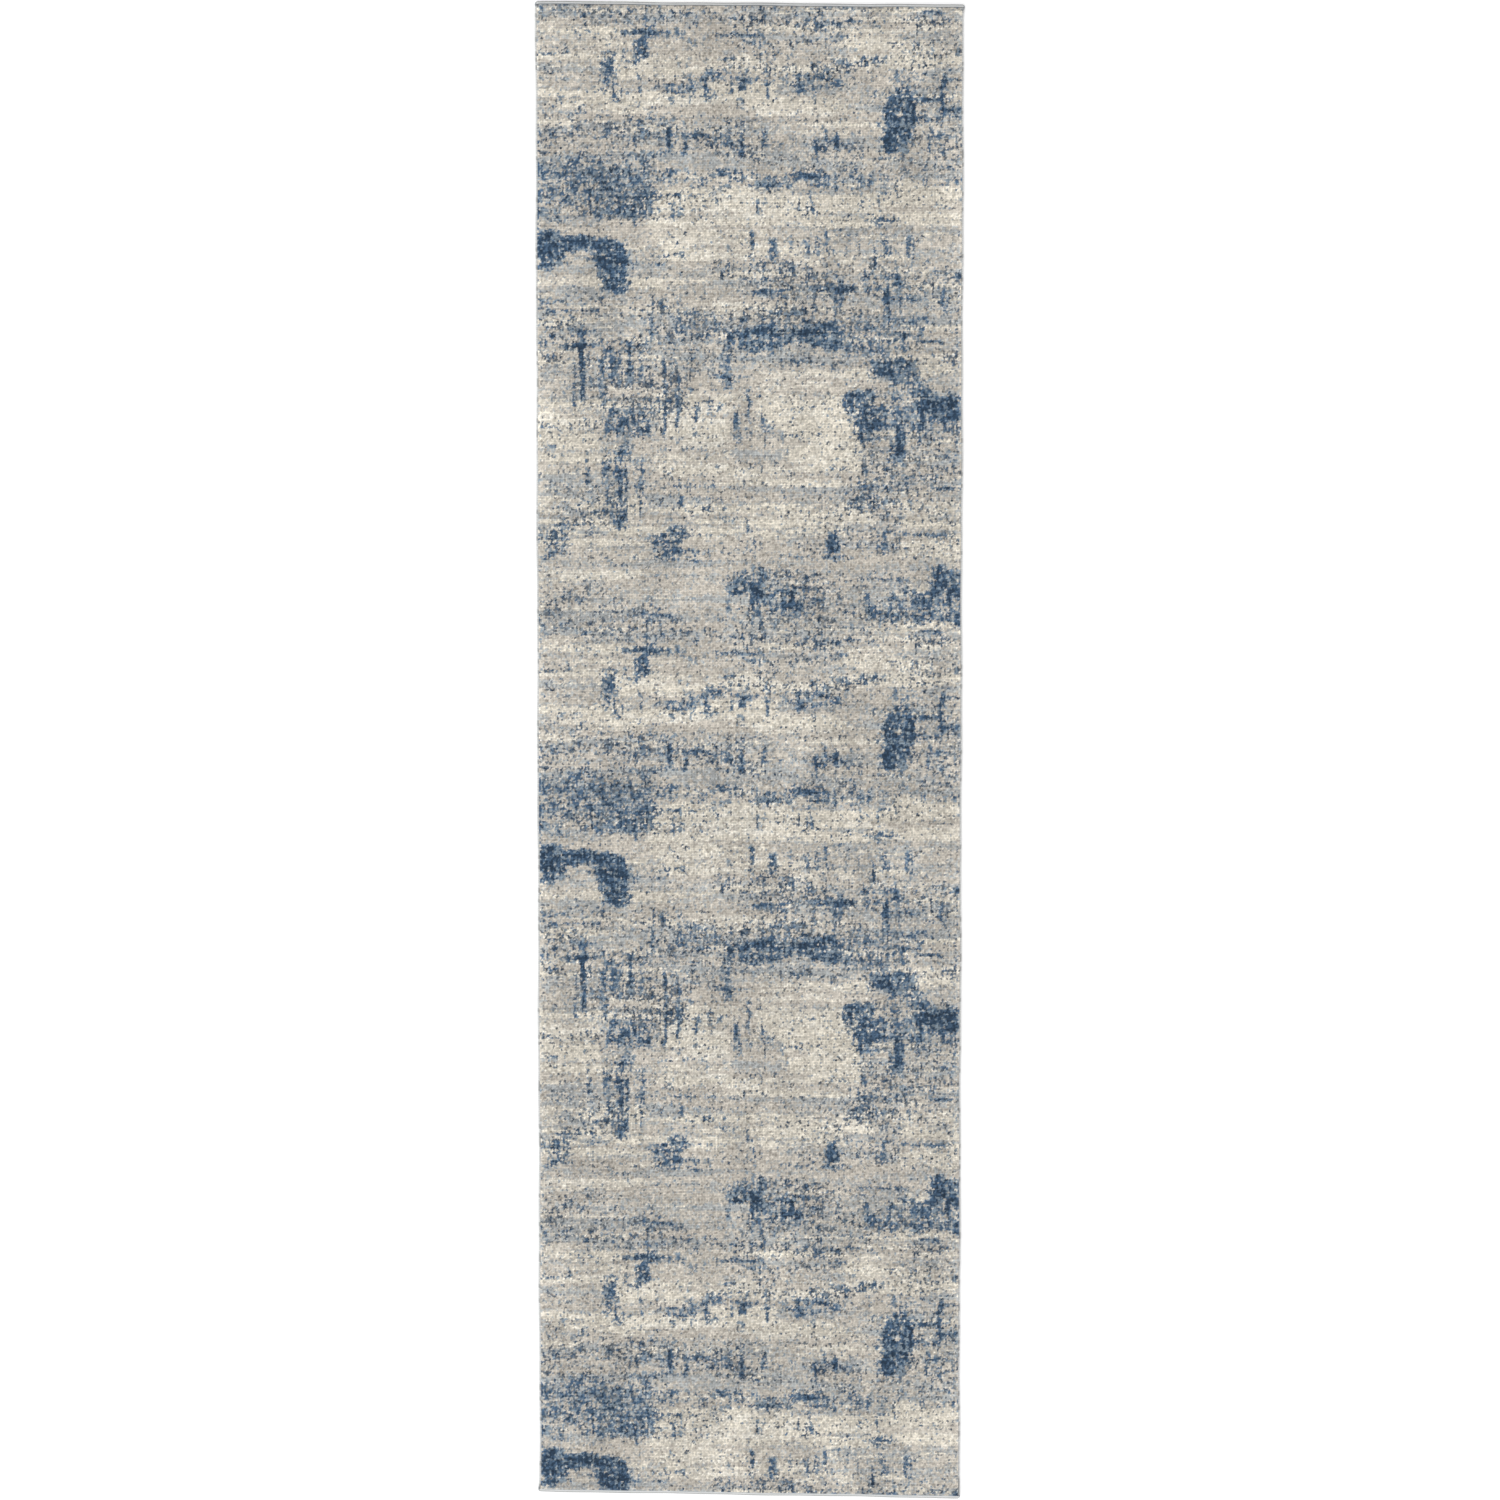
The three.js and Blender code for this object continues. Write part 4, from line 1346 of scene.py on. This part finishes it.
@dataclass
class BoundEnd:
    """A bound end: the folded tape, its seam's two threads, and the tacks at its corners."""

    bench: Bench
    end: End
    wall: float = 0.7 * MM
    top_reach: float = 5.2 * MM
    back_reach: float = 16 * MM
    corner_radius: float = 5 * MM
    weave_step: float = 2.2 * MM
    puckers: float = 0.12 * MM
    stitch: float = 6 * MM
    groove_side: float = 0.2 * MM
    groove_gap: float = 0.05 * MM
    groove_lift: float = 0.03 * MM
    needle_dip: float = 0.8
    bobbin_dip: float = -0.3
    tack_thread: float = 0.42 * MM
    tack_lift: float = 0.12 * MM
    tack_bars: int = 11
    # Across the tape's top, from the fold to the pile: darker edge threads, with painted shade at the fold
    # and painted shadow of the pile at the inner edge.
    tape_edge_threads_and_shade: tuple[tuple[float, ...], tuple[float, ...]] = (
        (0.0, 0.2, 0.32, 0.66, 0.8, 1.0),
        (0.22, 0.34, 1.05, 1.08, 0.52, 0.28),
    )

    def build(self) -> list[bpy.types.Object]:
        """Builds the end's five pieces."""
        needle = f"binding_needle_thread_{self.word}", self.needle_dip
        bobbin = f"binding_bobbin_thread_{self.word}", self.bobbin_dip
        made = [self._tape(), self._thread(*needle), self._thread(*bobbin)]
        return made + [self._tack(side) for side in Side]

    @property
    def word(self) -> str:
        """The end's name in piece and node names."""
        return self.end.name.lower()

    def _tape(self) -> bpy.types.Object:
        """The tape, folded round the end, cut back at the overedging and closed round the corners."""
        node = f"end_binding_{self.word}"
        low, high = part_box(node)
        half = (high.x - low.x) / 2
        notch = half - (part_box("serging_right")[1].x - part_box("serging_right")[0].x)
        straight = np.linspace(-notch, notch, 2 * round(notch / self.weave_step) + 1)
        turn = np.linspace(0, np.pi / 2, 8)
        corner = half - self.corner_radius + self.corner_radius * np.sin(turn)
        outer_x = np.concatenate([[notch + 0.3 * MM], corner])
        x = np.concatenate([-outer_x[::-1], straight, outer_x])
        past = np.clip(np.abs(x) - (half - self.corner_radius), 0, self.corner_radius)
        inset = self.corner_radius - np.sqrt(np.maximum(self.corner_radius**2 - past**2, 0))
        height = high.z - low.z
        pucker = self.puckers * (0.5 - 0.5 * np.cos(2 * np.pi * x / self.stitch))
        seam_low, seam_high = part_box(f"binding_bobbin_thread_{self.word}")
        seam = (abs(high.y + low.y) + (high.y - low.y) - abs(seam_high.y + seam_low.y)) / 2
        half_groove = (seam_high.y - seam_low.y) / 2 + self.groove_gap
        near, far = seam - half_groove, seam + half_groove
        edge = high.y if self.end is End.HEAD else low.y
        rings = []
        for place, back, lift in zip(x, inset, pucker):
            sewn = abs(place) <= notch + 0.1 * MM
            reach = self.back_reach if sewn else self.top_reach
            groove = (near - self.groove_side, near, far, far + self.groove_side)
            stops = np.array([*groove, (far + reach) / 2, reach])
            outer, inner = folded_section(self.wall, self.top_reach, stops, height, top_steps=6)
            loop = np.concatenate([outer, inner[::-1]])
            over = np.minimum(loop[:, 0], self.top_reach)
            inner_share = (self.top_reach - back) / self.top_reach
            distance = back + over * inner_share + (loop[:, 0] - over)
            upper = (loop[:, 1] > height / 2) & (loop[:, 0] > height / 2)
            z = low.z + loop[:, 1] - np.where(upper, self.puckers - lift, 0.0)
            grooved = (np.abs(loop[:, 0] - seam) < half_groove * 1.01) & (loop[:, 1] == 0) & sewn
            z = z + np.where(grooved, seam_high.z - low.z + self.groove_lift, 0.0)
            rings.append(placed(place, edge - self.end.value * distance, z))
        form = swept(np.array(rings), bands=6)
        # Painted shade across the tape's top: dark at the fold and against the pile, where the tape's darker
        # edge threads also lie; a little lighter in the middle.
        across = np.interp(loop[:, 0] / self.top_reach, *self.tape_edge_threads_and_shade)
        tone = np.where(loop[:, 1] > height / 2, across, 1.0)
        form.point_values["shade"] = np.tile(tone, len(rings))
        return self.bench.piece(f"folded_{node}", form, self.bench.finishes.tape, "binding_tape", node)

    def _thread(self, node: str, dip: float) -> bpy.types.Object:
        """A line of stitches that fills a thread's node.

        Args:
            node: The thread's CAD node.
            dip: How far the thread sinks at each needle hole, as a share of its height.

        Returns:
            The thread.
        """
        low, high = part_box(node)
        count = round((high.x - low.x) / self.stitch)
        share = np.linspace(0, count, 8 * count + 1)
        full = np.abs(np.sin(np.pi * share)) ** 0.4
        middle, size = (low + high) / 2, high - low
        z = middle.z - dip * size.z * (1 - full)
        path = placed(low.x + size.x * share / count, middle.y, z)
        form = strand(path, size.y * (0.6 + 0.4 * full), size.z * (0.7 + 0.3 * full))
        return self.bench.piece(f"stitched_{node}", form, self.bench.finishes.thread, "sewing_thread", node)

    def _tack(self, side: Side) -> bpy.types.Object:
        """A bar tack: zigzag stitches over two long ones.

        Args:
            side: Which corner it locks.

        Returns:
            The tack.
        """
        node = f"corner_tack_{self.word}_{side.name.lower()}"
        low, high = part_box(node)
        size, middle = high - low, (low + high) / 2
        thick = self.tack_thread
        share = np.linspace(0, 1, 5 * self.tack_bars + 1)
        swing = 2 * np.abs((share * self.tack_bars) % 2 - 1) - 1
        x = middle.x + swing * (size.x - thick) / 2
        y = low.y + thick / 2 + (size.y - thick) * share
        path = placed(x, y, high.z - thick / 2 - self.tack_lift + self.tack_lift * (1 - swing**2))
        form = strand(path, np.full(len(path), thick), np.full(len(path), thick), sides=6)
        for offset in (-0.25, 0.25):
            line = placed(middle.x + offset * size.x, np.linspace(low.y, high.y, 9), low.z + thick / 2)
            long_stitch = strand(line, np.full(9, thick), np.full(9, thick * 0.9), sides=6)
            form = form.joined(long_stitch)
        form.chart = None
        return self.bench.piece(f"zigzag_{node}", form, self.bench.finishes.thread, "sewing_thread", node)


# ---- studio


@dataclass
class Studio:
    """The camera above the rug, soft white light and a pale floor."""

    distance: float = 6.0
    tilt: float = math.radians(3.2)
    frame_height: float = 2.291
    aim_x: float = 0.6 * MM
    aim_y: float = 10.9 * MM
    sensor: float = 36.0
    sky: float = 1.0
    sun: float = 0.96
    sun_softness: float = math.radians(35)
    sun_turn: tuple[float, float, float] = (math.radians(38), math.radians(-24), 0.0)
    floor_half: float = 40.0
    floor_gap: float = 0.05 * MM
    view_reach: float = 120.0

    def camera(self) -> None:
        """Hangs the camera over the rug, with the head end at the top of its view."""
        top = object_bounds()[1].z
        aim = Vector((self.aim_x, self.aim_y, top))
        away = Vector((0.0, math.sin(self.tilt), math.cos(self.tilt)))
        data = bpy.data.cameras.new("camera_above")
        data.sensor_width = self.sensor
        data.lens = self.sensor * self.distance / self.frame_height
        data.clip_end = self.view_reach
        made = bpy.data.objects.new("camera_above", data)
        made.location = aim + self.distance * away
        made.rotation_euler = (-self.tilt, 0.0, 0.0)
        bpy.context.scene.collection.objects.link(made)
        bpy.context.scene.camera = made
        LOG.info("camera at %s", tuple(round(value, 3) for value in made.location))

    def light(self) -> None:
        """Adds an even sky and one broad soft light."""
        world = bpy.data.worlds.new("studio_sky")
        world.use_nodes = True
        shade = world.node_tree.nodes["Background"]
        shade.inputs["Color"].default_value = (1.0, 1.0, 1.0, 1.0)
        shade.inputs["Strength"].default_value = self.sky
        bpy.context.scene.world = world
        data = bpy.data.lights.new("broad_light", "SUN")
        data.energy = self.sun
        data.angle = self.sun_softness
        made = bpy.data.objects.new("broad_light", data)
        made.rotation_euler = self.sun_turn
        bpy.context.scene.collection.objects.link(made)
        bpy.context.scene.view_settings.view_transform = "Standard"

    def floor(self, lowest: float) -> None:
        """Lays the floor just under the rug.

        Args:
            lowest: Height of the rug's underside.
        """
        mesh = bpy.data.meshes.new("floor")
        half, z = self.floor_half, lowest - self.floor_gap
        corners = [(-half, -half, z), (half, -half, z), (half, half, z), (-half, half, z)]
        mesh.from_pydata(corners, [], [(0, 1, 2, 3)])
        mesh.materials.append(FloorFinish().material())
        made = bpy.data.objects.new("floor", mesh)
        bpy.context.scene.collection.objects.link(made)
        made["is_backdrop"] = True


# ---- making the rug


@dataclass
class RunnerRug:
    """The whole rug."""

    finishes: Finishes = Finishes()

    def build(self) -> None:
        """Builds every piece, from the edges in to the back."""
        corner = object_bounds()[1]
        bench = Bench(Lay(corner.x, corner.y), self.finishes)
        sides = [piece for side in Side for piece in LongSide(bench, side).build()]
        ends = [piece for end in End for piece in BoundEnd(bench, end).build()]
        pile = Pile(bench).build()
        Back(bench).build([*pile, *sides, *ends])


def main() -> None:
    """Makes the studio and the rug."""
    logging.basicConfig(level=logging.INFO, format="%(message)s")
    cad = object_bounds()
    studio = Studio()
    studio.camera()
    RunnerRug().build()
    studio.light()
    studio.floor(cad[0].z)


if __name__ == "__main__":
    main()
